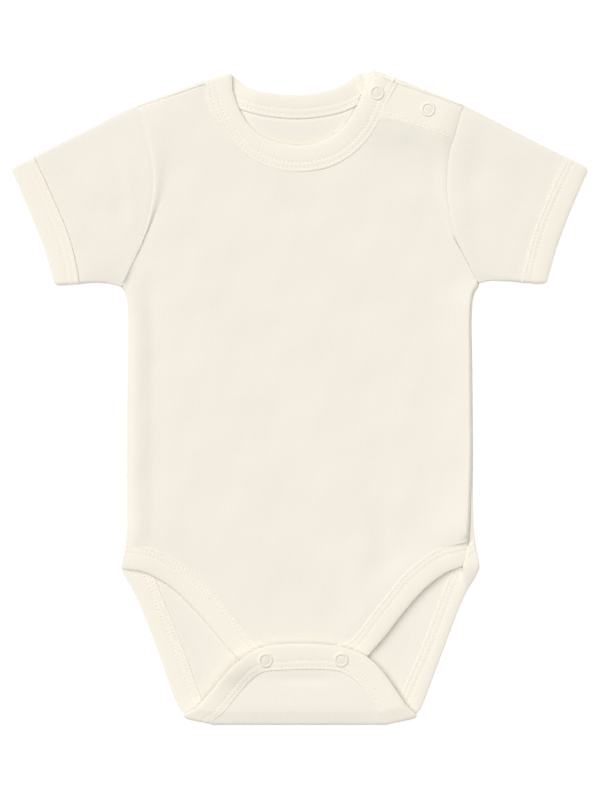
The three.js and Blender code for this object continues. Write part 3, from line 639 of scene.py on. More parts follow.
def below_fold(fold, outward):
    """A rib's row just below a shoulder fold."""
    return fold - SHOULDER_TURN_DEPTH * np.tile(outward, 2)


back_neck_table = np.vstack([
    below_fold(LEFT_SHOULDER_FOLD, left_outward),
    BACK_NECK,
    below_fold(RIGHT_SHOULDER_FOLD, right_outward),
])
back_seam = even_curve(back_neck_table[:, :2], NECK)
back_edge = even_curve(back_neck_table[:, 2:], NECK)
share = np.linspace(0, 1, SHOULDER + 1)[:, None]
left_end = left_corner + (LEFT_SHOULDER_FOLD[2:] - left_corner) * FOLD_TUCK / 17
right_end = right_corner + (RIGHT_SHOULDER_FOLD[2:] - right_corner) * FOLD_TUCK / 17
back_top = np.vstack([
    left_tip + (left_end - left_tip) * share,
    tucked(back_seam, back_edge)[1:-1],
    (right_tip + (right_end - right_tip) * share)[::-1],
])
EDGE_SHARES = np.array([0, 0.3, 0.8, 1.5, 2.3, 3.3, 4.5, 6.0]) / 220
across = np.concatenate([
    EDGE_SHARES,
    np.linspace(EDGE_SHARES[-1], 1 - EDGE_SHARES[-1], BACK_COLUMNS + 3 - 2 * len(EDGE_SHARES))[1:-1],
    1 - EDGE_SHARES[::-1],
])[:, None]
top_shape = back_top - (back_top[0] + (back_top[-1] - back_top[0]) * across)


def back_rows(left, right, shape=0.0):
    """Rows straight across between two edges, plus a share of the top line's shape."""
    shape = np.broadcast_to(shape, len(left))[:, None, None]
    return left[:, None] + (right - left)[:, None] * across + shape * top_shape


# %% [markdown]
# The back isn't quite flat. Low on the right it rolls forward round the front's edge, and it slopes up
# towards the neck, where the rib holds it.

# %% Rises of the back
def side_roll(x, y):
    """Low above the right leg the back rolls forward round the front's edge: an S-shaped step up beyond that
    edge, rising from the waist and gone again below the leg."""
    order = np.argsort(FRONT_RIGHT_EDGE[:, 1])
    edge = np.interp(y, FRONT_RIGHT_EDGE[order, 1], FRONT_RIGHT_EDGE[order, 0])
    return 3.0 * smoothstep(x - edge, -0.9, 0.8) * smoothstep(-y, 20, 85) * (1 - smoothstep(-y, 106, 124))


CLOTH_RISES_MORE = 1.2


def neck_rise(x, y):
    """The back slopes up towards its neck, between the shoulders."""
    return 1.5 * smoothstep(y, 146, 177) * (1 - smoothstep(np.abs(x), 28, 50))


FRONT_RIGHT_EDGE = np.vstack([RIGHT_SIDE[::-1], FRONT_LEG[-1:, 2:], [[104.6, -240.0]]])
FRONT_RIGHT_EDGE = FRONT_RIGHT_EDGE[np.argsort(FRONT_RIGHT_EDGE[:, 1])]
# %% [markdown]
# From the armholes down to the bottom fold the rows lie flat on the floor, apart from those rises.

# %% Rows of the back
arm_share = np.arange(1, ARM + 1) / ARM
arm_rows = back_rows(even_curve(LEFT_ARMHOLE, ARM)[1:], even_curve(RIGHT_ARMHOLE, ARM)[1:],
                     np.maximum(0, 1 - arm_share / 0.75) ** 2)
side_rows = back_rows(even_curve(LEFT_SIDE, SIDE)[1:-1], even_curve(RIGHT_OUTLINE, SIDE)[1:-1])
left_leg, left_leg_edge = seam_and_edge(BACK_LEG_LEFT, LEG)
right_leg, right_leg_edge = seam_and_edge(BACK_LEG_RIGHT, LEG)
leg_rows = back_rows(tucked(left_leg, left_leg_edge), tucked(right_leg, right_leg_edge))

lower = np.concatenate([arm_rows, side_rows, leg_rows])
from_left, from_right = (np.linalg.norm(lower - lower[:, [end]], axis=-1) for end in (0, -1))
leg_edge_distance = np.minimum(from_left, from_right)
at_leg = smoothstep(-lower[..., 1], 92, 112)
lower_x, lower_y = lower[..., 0], lower[..., 1]
lower_z = BACK_HEIGHT + side_roll(lower_x, lower_y) + CLOTH_RISES_MORE * neck_rise(lower_x, lower_y)
lower_z = lower_z + 0.6 * at_leg * np.exp(-((leg_edge_distance / 7) ** 2))
lower = np.dstack([lower, lower_z])

# %% [markdown]
# At the left shoulder the back comes over the fold and is sewn to the front a little below it. At the right
# it goes on under the front as the underlap, which carries the lower halves of the snaps. Both turn by half
# a circle.

# %% Shoulder wraps of the back
left_top, right_top = back_top[:SHOULDER + 1], back_top[-SHOULDER - 1:]
left_high = front_height(left_top[:, 0], left_top[:, 1] - 2.8)
right_share = np.linspace(1, 0, SHOULDER + 1)
right_high = UNDERLAP_HEIGHT_AT_ARM + (UNDERLAP_HEIGHT_AT_NECK - UNDERLAP_HEIGHT_AT_ARM) * right_share
left_turn = turn(left_top, left_outward, BACK_HEIGHT, left_high, CLOTH_HALF, TURN)[::-1]
right_turn = turn(right_top, right_outward, BACK_HEIGHT, right_high, CLOTH_HALF, TURN)[::-1]
left_reach = 2.1 + 1.1 * np.linspace(0, 1, SHOULDER + 1)
left_wrap = np.column_stack([left_top - left_outward * left_reach[:, None], left_high - 0.5])
underlap_arm, underlap_neck = np.array([99.6, 172.0]), UNDERLAP_NECK[-1, :2]
right_wrap = np.column_stack([underlap_arm + (underlap_neck - underlap_arm) * right_share[:, None], right_high])
neck_line = back_top[SHOULDER + 1:-SHOULDER - 1]
neck_line = at_height(neck_line, BACK_HEIGHT + CLOTH_RISES_MORE * neck_rise(neck_line[:, 0], neck_line[:, 1]))
neck_fill = np.repeat(neck_line[None], TURN + 2, axis=0)
shoulder_rows = np.concatenate([
    np.concatenate([left_wrap[None], left_turn]),
    neck_fill,
    np.concatenate([right_wrap[None], right_turn]),
], axis=1)

# %% [markdown]
# The back's lower end is folded up over the front. The fold is as high as the layers in it, and the flap
# sags a little below its end, between the snaps.

# %% Lower fold and flap of the back
fold_left, fold_right = LEFT_FLAP_FOLD[:2] + (-FOLD_TUCK, 0), RIGHT_FLAP_FOLD[:2] + (FOLD_TUCK, 0)
fold_line = fold_left + (fold_right - fold_left) * across
fold_rows = turn(fold_line, np.array(DOWN), BACK_HEIGHT, FLAP_FOLD_HEIGHT - FOLD_SINK, CLOTH_HALF, 12)
FLAP_ROWS = 34
flap_corners = np.vstack([FLAP_LEFT[-1], FLAP_END, FLAP_RIGHT[-1]])
flap_seam = even_curve(flap_corners[:, :2], BACK_COLUMNS) + (0, TUCK)
left_flap = tucked(*seam_and_edge(FLAP_LEFT, FLAP_ROWS))
right_flap = tucked(*seam_and_edge(FLAP_RIGHT, FLAP_ROWS))
end_shape = flap_seam - (flap_seam[0] + (flap_seam[-1] - flap_seam[0]) * across)
bow = (np.linspace(0, 1, FLAP_ROWS + 1) ** 2)[:, None, None]
flap_plan = left_flap[:, None] + (right_flap - left_flap)[:, None] * across + bow * end_shape
flap_z = flap_height(flap_plan[..., 1])
sag = np.exp(-((flap_plan[..., 0] - 2) / 24) ** 2) * np.exp(-((flap_plan[..., 1] + 179) / 4.5) ** 2)
puff = np.exp(-((flap_plan[..., 1] + 197) / 8) ** 2) * smoothstep(np.abs(flap_plan[..., 0]), 50, 30)
flap_z = flap_z - 0.8 * sag + 0.5 * puff
flap_rows = np.dstack([flap_plan, flap_z])

back_middle = np.concatenate([shoulder_rows, lower, fold_rows, flap_rows])
kept = np.ones((back_middle.shape[0] - 1, BACK_COLUMNS), bool)
kept[:TURN + 1, SHOULDER:SHOULDER + NECK] = False
back_panel, _ = cloth_shell("back_panel_cloth", back_middle, CLOTH_HALF, back_middle[..., :2], kept=kept)
back_area = middle_area(back_middle, kept=kept)
print("back, square metres:", round(back_area, 4))

# %% [markdown]
# ## Rib bindings
# Each binding is a strip of rib folded over the raw edge of the panels and sewn down by a twin needle. It
# could be a bevelled curve, but a carried profile gives its true section: a crisp edge at the seam, two
# sewn channels, a soft puff between them and a round folded edge. Along the channels the rib is pulled down
# where the needle goes in.

# %% A strip of rib
sewn_lines = []
FROM_EDGE = np.array([4.6, 3.7, 2.9, 2.2, 1.6, 1.1, 0.7, 0.4, 0.2, 0.06, 0])
STEPS_A_STITCH = 4


def columns_from(rows):
    """Distances from the seam at which a strip needs columns: close together at the seam and at each row."""
    near_rows = [row + step for row in rows for step in (-0.7, -0.35, 0, 0.35, 0.7)]
    return np.array([0, 0.08, 0.25, 0.5, 0.9, *near_rows[:5], sum(rows) / 2, *near_rows[5:], rows[1] + 1.4])


def strip_middle(seam, edge, rows):
    """Grid from seam to free edge: set distances from the seam, equal steps, set distances from the edge."""
    near = columns_from(rows)
    width = np.linalg.norm(edge - seam, axis=1)[:, None]
    between = np.linspace(near[-1], width[:, 0] - FROM_EDGE[0], 5)[1:-1].T
    d = np.hstack([np.repeat(near[None], len(seam), 0), between, width - FROM_EDGE])
    middle = seam[:, None] + (edge - seam)[:, None] * (d / width)[..., None]
    return middle, d, width


def even_rows(seam, edge):
    """Rows of a strip at equal lengths along its middle line, a whole number of them to each stitch."""
    length = lengths_along((seam + edge) / 2)
    stitches = int(round(length[-1] / STITCH_PITCH))
    at = np.linspace(0, length[-1], STEPS_A_STITCH * stitches + 1)
    pick = lambda line: np.column_stack([np.interp(at, length, line[:, k]) for k in range(3)])
    return pick(seam), pick(edge)


def rib_half(d, width, rows):
    """Half wall of the rib: thin at the seam, an ellipse at the free edge, fullest between them, less two
    sewn channels with a needle hole at every stitch."""
    full = RIB_HALF * (0.86 + 0.14 * smoothstep(d, rows[1], rows[1] + 3.5))
    half = np.minimum(round_edge(d, 0.9, full, 0.35), round_edge(width - d, 4.6, full))
    hole = (np.arange(len(d)) % STEPS_A_STITCH == 0)[:, None]
    for row in rows:
        half = half - 0.14 * np.exp(-(((d - row) / 0.55) ** 2)) - 0.2 * hole * np.exp(-(((d - row) / 0.4) ** 2))
    return half


# %% [markdown]
# The corners of a strip, where it ends or turns over a fold, are rounded by wear and by turning. A binding
# keeps the lines of its two sewn rows, so that the stitches can be laid on them later.

# %% Binding from a strip
def rounded_corners(seam, edge, corners, radius):
    """Free edge drawn in near each corner, so that the corner becomes a quarter circle in plan."""
    width = np.linalg.norm(edge - seam, axis=1, keepdims=True)
    inset = np.zeros(len(edge))
    for corner in corners:
        near = np.minimum(np.linalg.norm(edge[:, :2] - corner, axis=1), radius)
        inset = np.maximum(inset, radius - np.sqrt(radius**2 - (radius - near) ** 2))
    return edge + (seam - edge) / width * inset[:, None]


def rib_binding(name, seam, edge, rows, closed=False, sides=(1, -1), corners=(), radius=2.5,
                lift=None):
    """A strip of rib between its seam and free edge, with the lines that its stitches follow. lift is what is
    added to the height at a place."""
    middle, d, width = strip_middle(seam, rounded_corners(seam, edge, corners, radius), rows)
    if lift is not None:
        middle[..., 2] += lift(middle[..., 0], middle[..., 1])
    half = rib_half(d, width, rows)
    along = lengths_along(middle[:, 12])
    grain = np.stack([np.broadcast_to(along[:, None], d.shape), d], axis=-1)
    if closed:
        middle, half, grain = (np.swapaxes(a, 0, 1) for a in (middle, half, grain))
    piece, normals = cloth_shell(name, middle, half, grain, closed=closed)
    if closed:
        middle, half, normals = (np.swapaxes(a, 0, 1) for a in (middle, half, normals))
    for row in rows:
        column = int(np.argmin(np.abs(columns_from(rows) - row)))
        lying = (half[:, column] + 0.2 * (np.arange(len(d)) % STEPS_A_STITCH == 0))[:, None]
        for side in sides:
            normal = normals[:, column] * side
            sewn_lines.append((name, middle[:, column] + normal * lying, normal))
    return piece, middle_area(middle, closed=False), along[-1]


# %% [markdown]
# One strip can lie flat, go over a fold and lie flat again. Each part is made as a seam and an edge of the
# same count, and the parts are joined before the strip is made.

# %% Parts of a strip
def rib_turn(fold, outward, low, high, steps=14):
    """Seam and edge of a rib round a fold, from its lower side to its upper one."""
    ends = turn(fold.reshape(2, 2), outward, low, high, RIB_HALF, steps)
    return ends[:, 0], ends[:, 1]


def rib_rows(table, height, steps=80, curl=0.0):
    """Seam and edge of a rib lying flat: its height is read at the seam, and the free edge may stand
    higher."""
    seam, edge = seam_and_edge(table, steps)
    z = np.broadcast_to(height(seam), len(seam))
    return at_height(seam, z), at_height(edge, z + curl)


def join(*parts):
    """One strip from several, each a pair of seam and edge."""
    return even_rows(np.vstack([seam for seam, _ in parts]), np.vstack([edge for _, edge in parts]))


def flipped(part):
    """A part of a strip, run the other way."""
    return part[0][::-1], part[1][::-1]


# %% [markdown]
# The strip goes once round the neck and ends on the underlap. Its free edge stands up a little at the front
# and at the back, and a small crease crosses it behind the right shoulder, where the underlap pulls on it.

# %% Neckband
BACK_NECK_CREASE = (36.8, 205.4, 39.4, 199.0)


def seam_height(seam):
    """Height of a rib's seam on the front."""
    return front_height(seam[:, 0], seam[:, 1])


def back_rib_height(seam):
    """Height of the back's rib, which rises with the cloth at the neck."""
    return BACK_RIB_HEIGHT + neck_rise(seam[:, 0], seam[:, 1])


front_part = rib_rows(FRONT_NECK, seam_height, 160)
back_curl = 0.9 * np.sin(np.pi * np.linspace(0, 1, 121))
curl = 0.4 * smoothstep(np.arange(161), 30, 70) * (1 - smoothstep(np.arange(161), 120, 155))
front_part[1][:, 2] += curl
left_high = float(front_part[0][-1, 2])
neckband, neckband_area, neckband_length = rib_binding("neckband_rib", *join(
    front_part,
    flipped(rib_turn(LEFT_SHOULDER_FOLD, left_outward, BACK_RIB_HEIGHT, left_high)),
    rib_rows(BACK_NECK, back_rib_height, 120, curl=back_curl),
    rib_turn(RIGHT_SHOULDER_FOLD, right_outward, BACK_RIB_HEIGHT, UNDERLAP_RIB_HEIGHT),
    rib_rows(UNDERLAP_NECK, lambda seam: UNDERLAP_RIB_HEIGHT, 16),
), rows=(2.8, 6.5), corners=(LEFT_SHOULDER_FOLD[2:], RIGHT_SHOULDER_FOLD[2:], FRONT_NECK[0, 2:]), radius=2.0,
    lift=lambda x, y: 0.8 * np.exp(-((distance_to_line(x, y, *BACK_NECK_CREASE) / 1.5) ** 2)))
print("neckband strip, mm:", round(neckband_length, 1))

# %% [markdown]
# The front strip dips at its free edge into the leg openings. The back strip follows the cloth round the
# bottom fold on both sides, and its edge on the flap curls up, most of all at the left arm of the flap.

# %% Leg bindings
leg_curl = -0.9 + 0.4 * smoothstep(np.arange(261), 90, 170)
front_leg, front_leg_area, front_leg_length = rib_binding(
    "front_leg_rib", *join(rib_rows(FRONT_LEG, seam_height, 260, curl=leg_curl)),
    rows=(2.3, 5.6), corners=(FRONT_LEG[0, 2:], FRONT_LEG[-1, 2:]))

along_flap = np.linspace(0, 1, 161)
left_arm_curl = 3.2 * np.exp(-(((along_flap - 0.17) / 0.11) ** 2)) * along_flap / 0.17
flap_curl = 1.3 * np.sin(np.pi * along_flap) ** 0.7 + left_arm_curl
back_leg, back_leg_area, back_leg_length = rib_binding("back_leg_rib", *join(
    rib_rows(BACK_LEG_LEFT, back_rib_height, 120),
    rib_turn(LEFT_FLAP_FOLD, np.array(DOWN), BACK_RIB_HEIGHT, FLAP_FOLD_HEIGHT - FOLD_SINK),
    rib_rows(np.vstack([FLAP_LEFT, FLAP_END, FLAP_RIGHT[::-1]]),
             lambda seam: flap_height(seam[:, 1]), 160, curl=flap_curl),
    flipped(rib_turn(RIGHT_FLAP_FOLD, np.array(DOWN), BACK_RIB_HEIGHT, FLAP_FOLD_HEIGHT - FOLD_SINK)),
    flipped(rib_rows(BACK_LEG_RIGHT, back_rib_height, 120)),
), rows=(2.4, 5.9), corners=(LEFT_FLAP_FOLD[2:], RIGHT_FLAP_FOLD[2:], BACK_LEG_RIGHT[0, 2:]), radius=1.6,
    lift=side_roll)
print("leg strips, mm:", round(front_leg_length, 1), round(back_leg_length, 1))

# %% [markdown]
# ## Sleeves and cuffs
# A set-in sleeve is a tube, folded flat along its top and underarm. Its rings run from the armhole to the
# cuff. The sleeve cloth rolls up out of the armhole seam, because the seam allowances lie under it, and the
# cuff is a ring of folded rib with the same sewn channels as the other bindings.

# %% Tubes folded flat
ROUND = 56
SLEEVE_BULGE = 0.5
CUFF_PROUD = 0.6
CUFF_SLOPE = 0.45
SLEEVE_FOLDS = {
    "left": [(-139, 138, -120, 125, 0.35, 5), (-122, 160, -112, 118, -0.25, 8), (-136, 86, -133, 78, 0.3, 3),
             (-124, 84, -122, 77, 0.25, 3), (-108, 150, -106, 110, 0.3, 5)],
    "right": [(113, 180, 117, 146, -0.4, 6), (130, 150, 122, 118, 0.25, 8), (136, 90, 133, 80, 0.3, 4),
              (104, 150, 104, 112, 0.3, 5), (146, 132, 138, 110, -0.2, 7)],
}


def tube_loops(lines, low, high, half, steps=8):
    """Closed loops round a flattened tube: out over the upper layer, round a fold, back under, round the
    other fold. lines is (ring, place across, xy), high is (ring, place across)."""
    loops = []
    turns = []
    for end, inside in ((0, 2), (-1, -3)):
        outward = lines[:, end] - lines[:, inside]
        outward = outward / np.linalg.norm(outward, axis=1, keepdims=True)
        turns.append(turn(lines[:, end], outward, low, high[:, end], half, steps).swapaxes(0, 1))
    skip = 2
    upper = np.dstack([lines[:, skip:-skip], high[:, skip:-skip]])
    under = np.dstack([lines[:, skip:-skip], np.full(high[:, skip:-skip].shape, low)])[:, ::-1]
    return np.concatenate([turns[0], upper, turns[1][:, ::-1], under], axis=1)


def stand_proud(line):
    """The line made longer at both ends, since the cuff stands a little outside the sleeve's folds."""
    ends = np.zeros_like(line)
    for end, inside in ((0, 2), (-1, -3)):
        outward = line[end] - line[inside]
        ends[end] = outward / np.linalg.norm(outward) * CUFF_PROUD
    return line + ends


# %% [markdown]
# A sleeve and its cuff are made together, because they share the cuff seam. The first rows of the sleeve
# dip under the body's edge as a narrow flange, so that the seam has no gap.

# %% Sleeves with their cuffs
def at_shares(line, shares):
    """Points of a line at shares of its length."""
    length = lengths_along(line)
    return np.column_stack([np.interp(shares, length / length[-1], line[:, k]) for k in (0, 1)])


def make_sleeve(side):
    """Sleeve rings are straight blends of armhole and cuff seam, bent to the top and underarm folds."""
    lines = SLEEVES[side]
    arm = even_curve(lines["armhole"], ROUND)
    cuff_seam = even_curve(lines["cuff_seam"], ROUND)
    cuff_edge = even_curve(lines["cuff_edge"], ROUND)
    length = float(np.linalg.norm(arm.mean(0) - cuff_seam.mean(0)))
    near_seam = np.array([-1.4, -0.2, 0.05, 0.3, 0.6, 1.0, 1.5, 2.1, 2.9, 3.9, 5.2, 6.8]) / length
    t = np.concatenate([near_seam, np.linspace(near_seam[-1], 1.008, 56)[1:]])[:, None, None]
    s = np.linspace(0, 1, ROUND + 1)[None, :, None]
    top = smooth_curve(lines["top"], 400)
    under = smooth_curve(lines["under"], 400)
    top_shift = at_shares(top, t[:, 0, 0]) - (arm[0] + (cuff_seam[0] - arm[0]) * t[:, 0])
    under_shift = at_shares(under, t[:, 0, 0]) - (arm[-1] + (cuff_seam[-1] - arm[-1]) * t[:, 0])
    plan = arm + (cuff_seam - arm) * t + top_shift[:, None] * (1 - s) + under_shift[:, None] * s
    x, y = plan[..., 0], plan[..., 1]
    down = t[..., 0] * length
    round_share = np.sin(np.pi * s[..., 0])
    high = front_height(arm[:, 0], arm[:, 1])[None] * (1 - smoothstep(t[..., 0], 0, 1))
    high = high + CUFF_TOP_HEIGHT * smoothstep(t[..., 0], 0, 1)
    high = high + SLEEVE_BULGE * round_share * np.sin(np.pi * np.clip(t[..., 0], 0, 1))
    seam_ridge = ARMHOLE_SEAM * (1 - np.clip(t[..., 0], 0, 1)) ** 1.5 - 0.9 * (down < -1)
    high = high + (seam_ridge + SLEEVE_ROLL[side] * seam_roll(down)) * round_share**0.5
    high = high + waves(x + 40, y - 25) * round_share * smoothstep(down, 3, 15)
    high = high + fold_heights(x, y, SLEEVE_FOLDS[side]) * round_share
    high = np.maximum(high, BACK_HEIGHT + 1.25)
    middle = tube_loops(plan, BACK_HEIGHT, high, CLOTH_HALF)
    half = round_edge(np.minimum(down + 0.2, length * (1.008 - t[..., 0]) + 0.4), 0.5, CLOTH_HALF, 0.75)
    axis = square_to(cuff_seam[0], cuff_seam[-1], cuff_seam[0] - arm[0])
    grain = np.stack([middle[..., :2] @ np.array([-axis[1], axis[0]]), middle[..., :2] @ axis], axis=-1)
    name = f"sleeve_{side}_cloth"
    sleeve, _ = cloth_shell(name, middle, half, grain, closed=True)
    sizes = (middle_area(middle, closed=True), length)

    cuff_seam, cuff_edge = stand_proud(cuff_seam), stand_proud(cuff_edge)
    level = np.full((1, ROUND + 1), CUFF_TOP_HEIGHT)
    seam_loop = tube_loops(cuff_seam[None], BACK_RIB_HEIGHT, level + CUFF_SLOPE, RIB_HALF)[0]
    edge_loop = tube_loops(cuff_edge[None], BACK_RIB_HEIGHT, level - CUFF_SLOPE, RIB_HALF)[0]
    seam_loop, edge_loop = np.vstack([seam_loop, seam_loop[:1]]), np.vstack([edge_loop, edge_loop[:1]])
    ring_seam, ring_edge = even_rows(seam_loop, edge_loop)
    rows = (3.1, 6.9) if side == "left" else (2.0, 5.3)
    cuff = rib_binding(f"cuff_{side}_rib", ring_seam[:-1], ring_edge[:-1], rows, closed=True, sides=(1,),
                       corners=(cuff_edge[0], cuff_edge[-1]), radius=3.2)
    return sleeve, sizes, cuff


sleeves = {side: make_sleeve(side) for side in ("left", "right")}

# %% [markdown]
# ## Twin-needle stitching
# Every binding is sewn by a twin needle, which leaves two rows of short stitches. Each stitch is a small
# spindle of thread lying in its channel, and the stitches of each binding, and those of the shoulder hem, are
# one mesh each, made in one go from their places.

# %% Stitches
THREAD_RADIUS = 0.28
STITCH_LENGTH = 1.75


def stitch_places(line, normal):
    """Middle, direction and normal of each stitch along a line of rows, midway between two needle holes."""
    at = np.arange(STEPS_A_STITCH // 2, len(line) - 1, STEPS_A_STITCH)
    ahead = line[at + 1] - line[at - 1]
    return line[at], ahead / np.linalg.norm(ahead, axis=1, keepdims=True), normal[at]


def stitch_mesh(name, places):
    """Spindles: rings of five points whose radius swells in the middle, closed by flat ends."""
    middle, ahead, normal = (np.vstack(part) for part in zip(*places))
    rings = np.array([-1, -0.55, 0, 0.55, 1])
    swell = np.array([0.3, 0.85, 1, 0.85, 0.3])
    angle = np.linspace(0, 2 * np.pi, 6)[:-1]
    side = np.cross(ahead, normal)
    ring = (side[:, None] * np.cos(angle)[:, None] + normal[:, None] * np.sin(angle)[:, None]) * THREAD_RADIUS
    points = (middle[:, None, None] + ahead[:, None, None] * (rings * STITCH_LENGTH / 2)[None, :, None, None]
              + ring[:, None] * swell[None, :, None, None])
    index = np.arange(25).reshape(5, 5)
    near = np.roll(index, -1, axis=1)
    quads = np.stack([index[:-1], index[1:], near[1:], near[:-1]], axis=-1).reshape(-1, 4)
    start = (np.arange(len(middle)) * 25)[:, None, None]
    faces = (quads + start).reshape(-1, 4).tolist()
    faces += (index[0] + start[:, 0]).tolist() + (index[-1][::-1] + start[:, 0]).tolist()
    print(name, "stitches:", len(middle))
    return make_mesh(name, points.reshape(-1, 3), faces)


# %% [markdown]
# The rows of the shoulder hem lie on the panel itself, whose height is felt from above. The others lie on
# the lines that the bindings kept.

# %% Lay the stitches
def feel(piece, points):
    """Points of a piece's upper skin, felt from above at the given places."""
    corners = [v.co for v in piece.data.vertices]
    tree = BVHTree.FromPolygons(corners, [face.vertices for face in piece.data.polygons])
    starts = (at_height(points, 40.0) - PATTERN_MIDDLE) * MM
    hits = [tree.ray_cast(start.tolist(), (0, 0, -1))[0] for start in starts]
    return np.array([hit for hit in hits if hit is not None]) / MM + PATTERN_MIDDLE


placket_places = []
for row in PLACKET_ROWS:
    line = feel(front_panel, even_curve(row, STEPS_A_STITCH * int(lengths_along(row)[-1] / STITCH_PITCH)))
    placket_places.append(stitch_places(line, np.tile([0.0, 0.0, 1.0], (len(line), 1))))
ribs_sewn = {}
for name, line, normal in sewn_lines:
    ribs_sewn.setdefault(name, []).append(stitch_places(line, normal))
stitching = {name: stitch_mesh(name.replace("_rib", "_stitches"), places) for name, places in ribs_sewn.items()}
stitching["placket"] = stitch_mesh("placket_stitches", placket_places)

# %% [markdown]
# ## Ring snaps
# A ring snap shows an open ring of hard, milky plastic with the cloth domed up in its middle. The ring is a
# turned profile, and the dome is a shallow cap of cloth in it. Both lean with the cloth that they are
# pressed into.

# %% Snaps
SNAPS = {
    "shoulder_inner": (49.2, 192.7), "shoulder_outer": (81.6, 182.2),
    "crotch_left": (-21.4, -167.0), "crotch_right": (26.5, -166.7),
}
RING_PROFILE = np.array([  # radius and height, counter-clockwise
    [2.86, -0.3], [4.6, -0.3], [4.78, 0.0], [4.72, 0.24], [4.5, 0.46], [4.15, 0.6], [3.75, 0.65],
    [3.4, 0.6], [3.12, 0.46], [2.94, 0.24], [2.86, 0.0],
])
DOME_PROFILE = np.array([
    [0.001, 0.4], [1.0, 0.38], [1.7, 0.33], [2.1, 0.27], [2.4, 0.2], [2.65, 0.14], [2.84, 0.12], [2.84, -0.1],
    [2.84, -0.5], [0.001, -0.5],
])


# %% [markdown]
# A snap leans with the cloth that carries it. The cloth round the ring is felt from above at 24 places, and
# the plane that fits them best is the snap's seat.

# %% Place the snaps
def turned(profile, steps=48, closed=True):
    """A profile carried round the vertical axis."""
    angle = np.linspace(0, 2 * np.pi, steps + 1)[:-1]
    r, z = profile[:, 0][:, None], profile[:, 1][:, None]
    points = np.stack([r * np.cos(angle), r * np.sin(angle), np.broadcast_to(z, (len(r), steps))], axis=-1)
    index = np.arange(len(profile) * steps).reshape(len(profile), steps)
    if closed:
        index = np.vstack([index, index[:1]])
    near = np.roll(index, -1, axis=1)
    quads = np.stack([index[:-1], near[:-1], near[1:], index[1:]], axis=-1).reshape(-1, 4).tolist()
    if not closed:
        quads += [index[0][::-1].tolist(), index[-1].tolist()]
    return points.reshape(-1, 3), quads


def snap_seat(piece, place, reach=4.6):
    """Height and slope of the cloth under a snap: felt from above at points round the ring, then the plane
    that fits them best."""
    around = np.linspace(0, 2 * np.pi, 25)[:-1, None]
    felt = feel(piece, place + reach * np.hstack([np.cos(around), np.sin(around)]))
    plane = np.column_stack([felt[:, :2] - place, np.ones(len(felt))])
    slope_x, slope_y, height = np.linalg.lstsq(plane, felt[:, 2], rcond=None)[0]
    up = np.array([-slope_x, -slope_y, 1.0])
    up /= np.linalg.norm(up)
    right = np.cross([0, 1, 0], up)
    right /= np.linalg.norm(right)
    return np.array([*place, height]), np.column_stack([right, np.cross(up, right), up])


snap_rings, snap_domes = {}, {}
for name, place in SNAPS.items():
    carrier = {"shoulder_inner": neckband, "shoulder_outer": front_panel}.get(name, back_leg)
    seat, lean = snap_seat(carrier, place)
    ring_points, ring_faces = turned(RING_PROFILE)
    dome_points, dome_faces = turned(DOME_PROFILE, closed=False)
    snap_rings[name] = make_mesh(f"snap_ring_{name}", ring_points @ lean.T + seat, ring_faces)
    snap_domes[name] = make_mesh(f"snap_middle_{name}", dome_points @ lean.T + seat, dome_faces)
print("snaps:", sorted(snap_rings))

# %% [markdown]
# ## Cloth and rib materials
# Interlock shows fine upright wales and is slightly fuzzy. Rib has deeper, wider-spaced ribs that run
# across the strip. Both read the grain map that every shell carries, so the knit follows the cut of each
# piece. The knit could be an image, but waves and noise stay sharp at any distance. One node group makes
# the knit's height and its tone.

# %% Knit group
def node(tree, kind, **values):
    """A shader node with its settings."""
    made = tree.nodes.new(kind)
    for name, value in values.items():
        setattr(made, name, value)
    return made


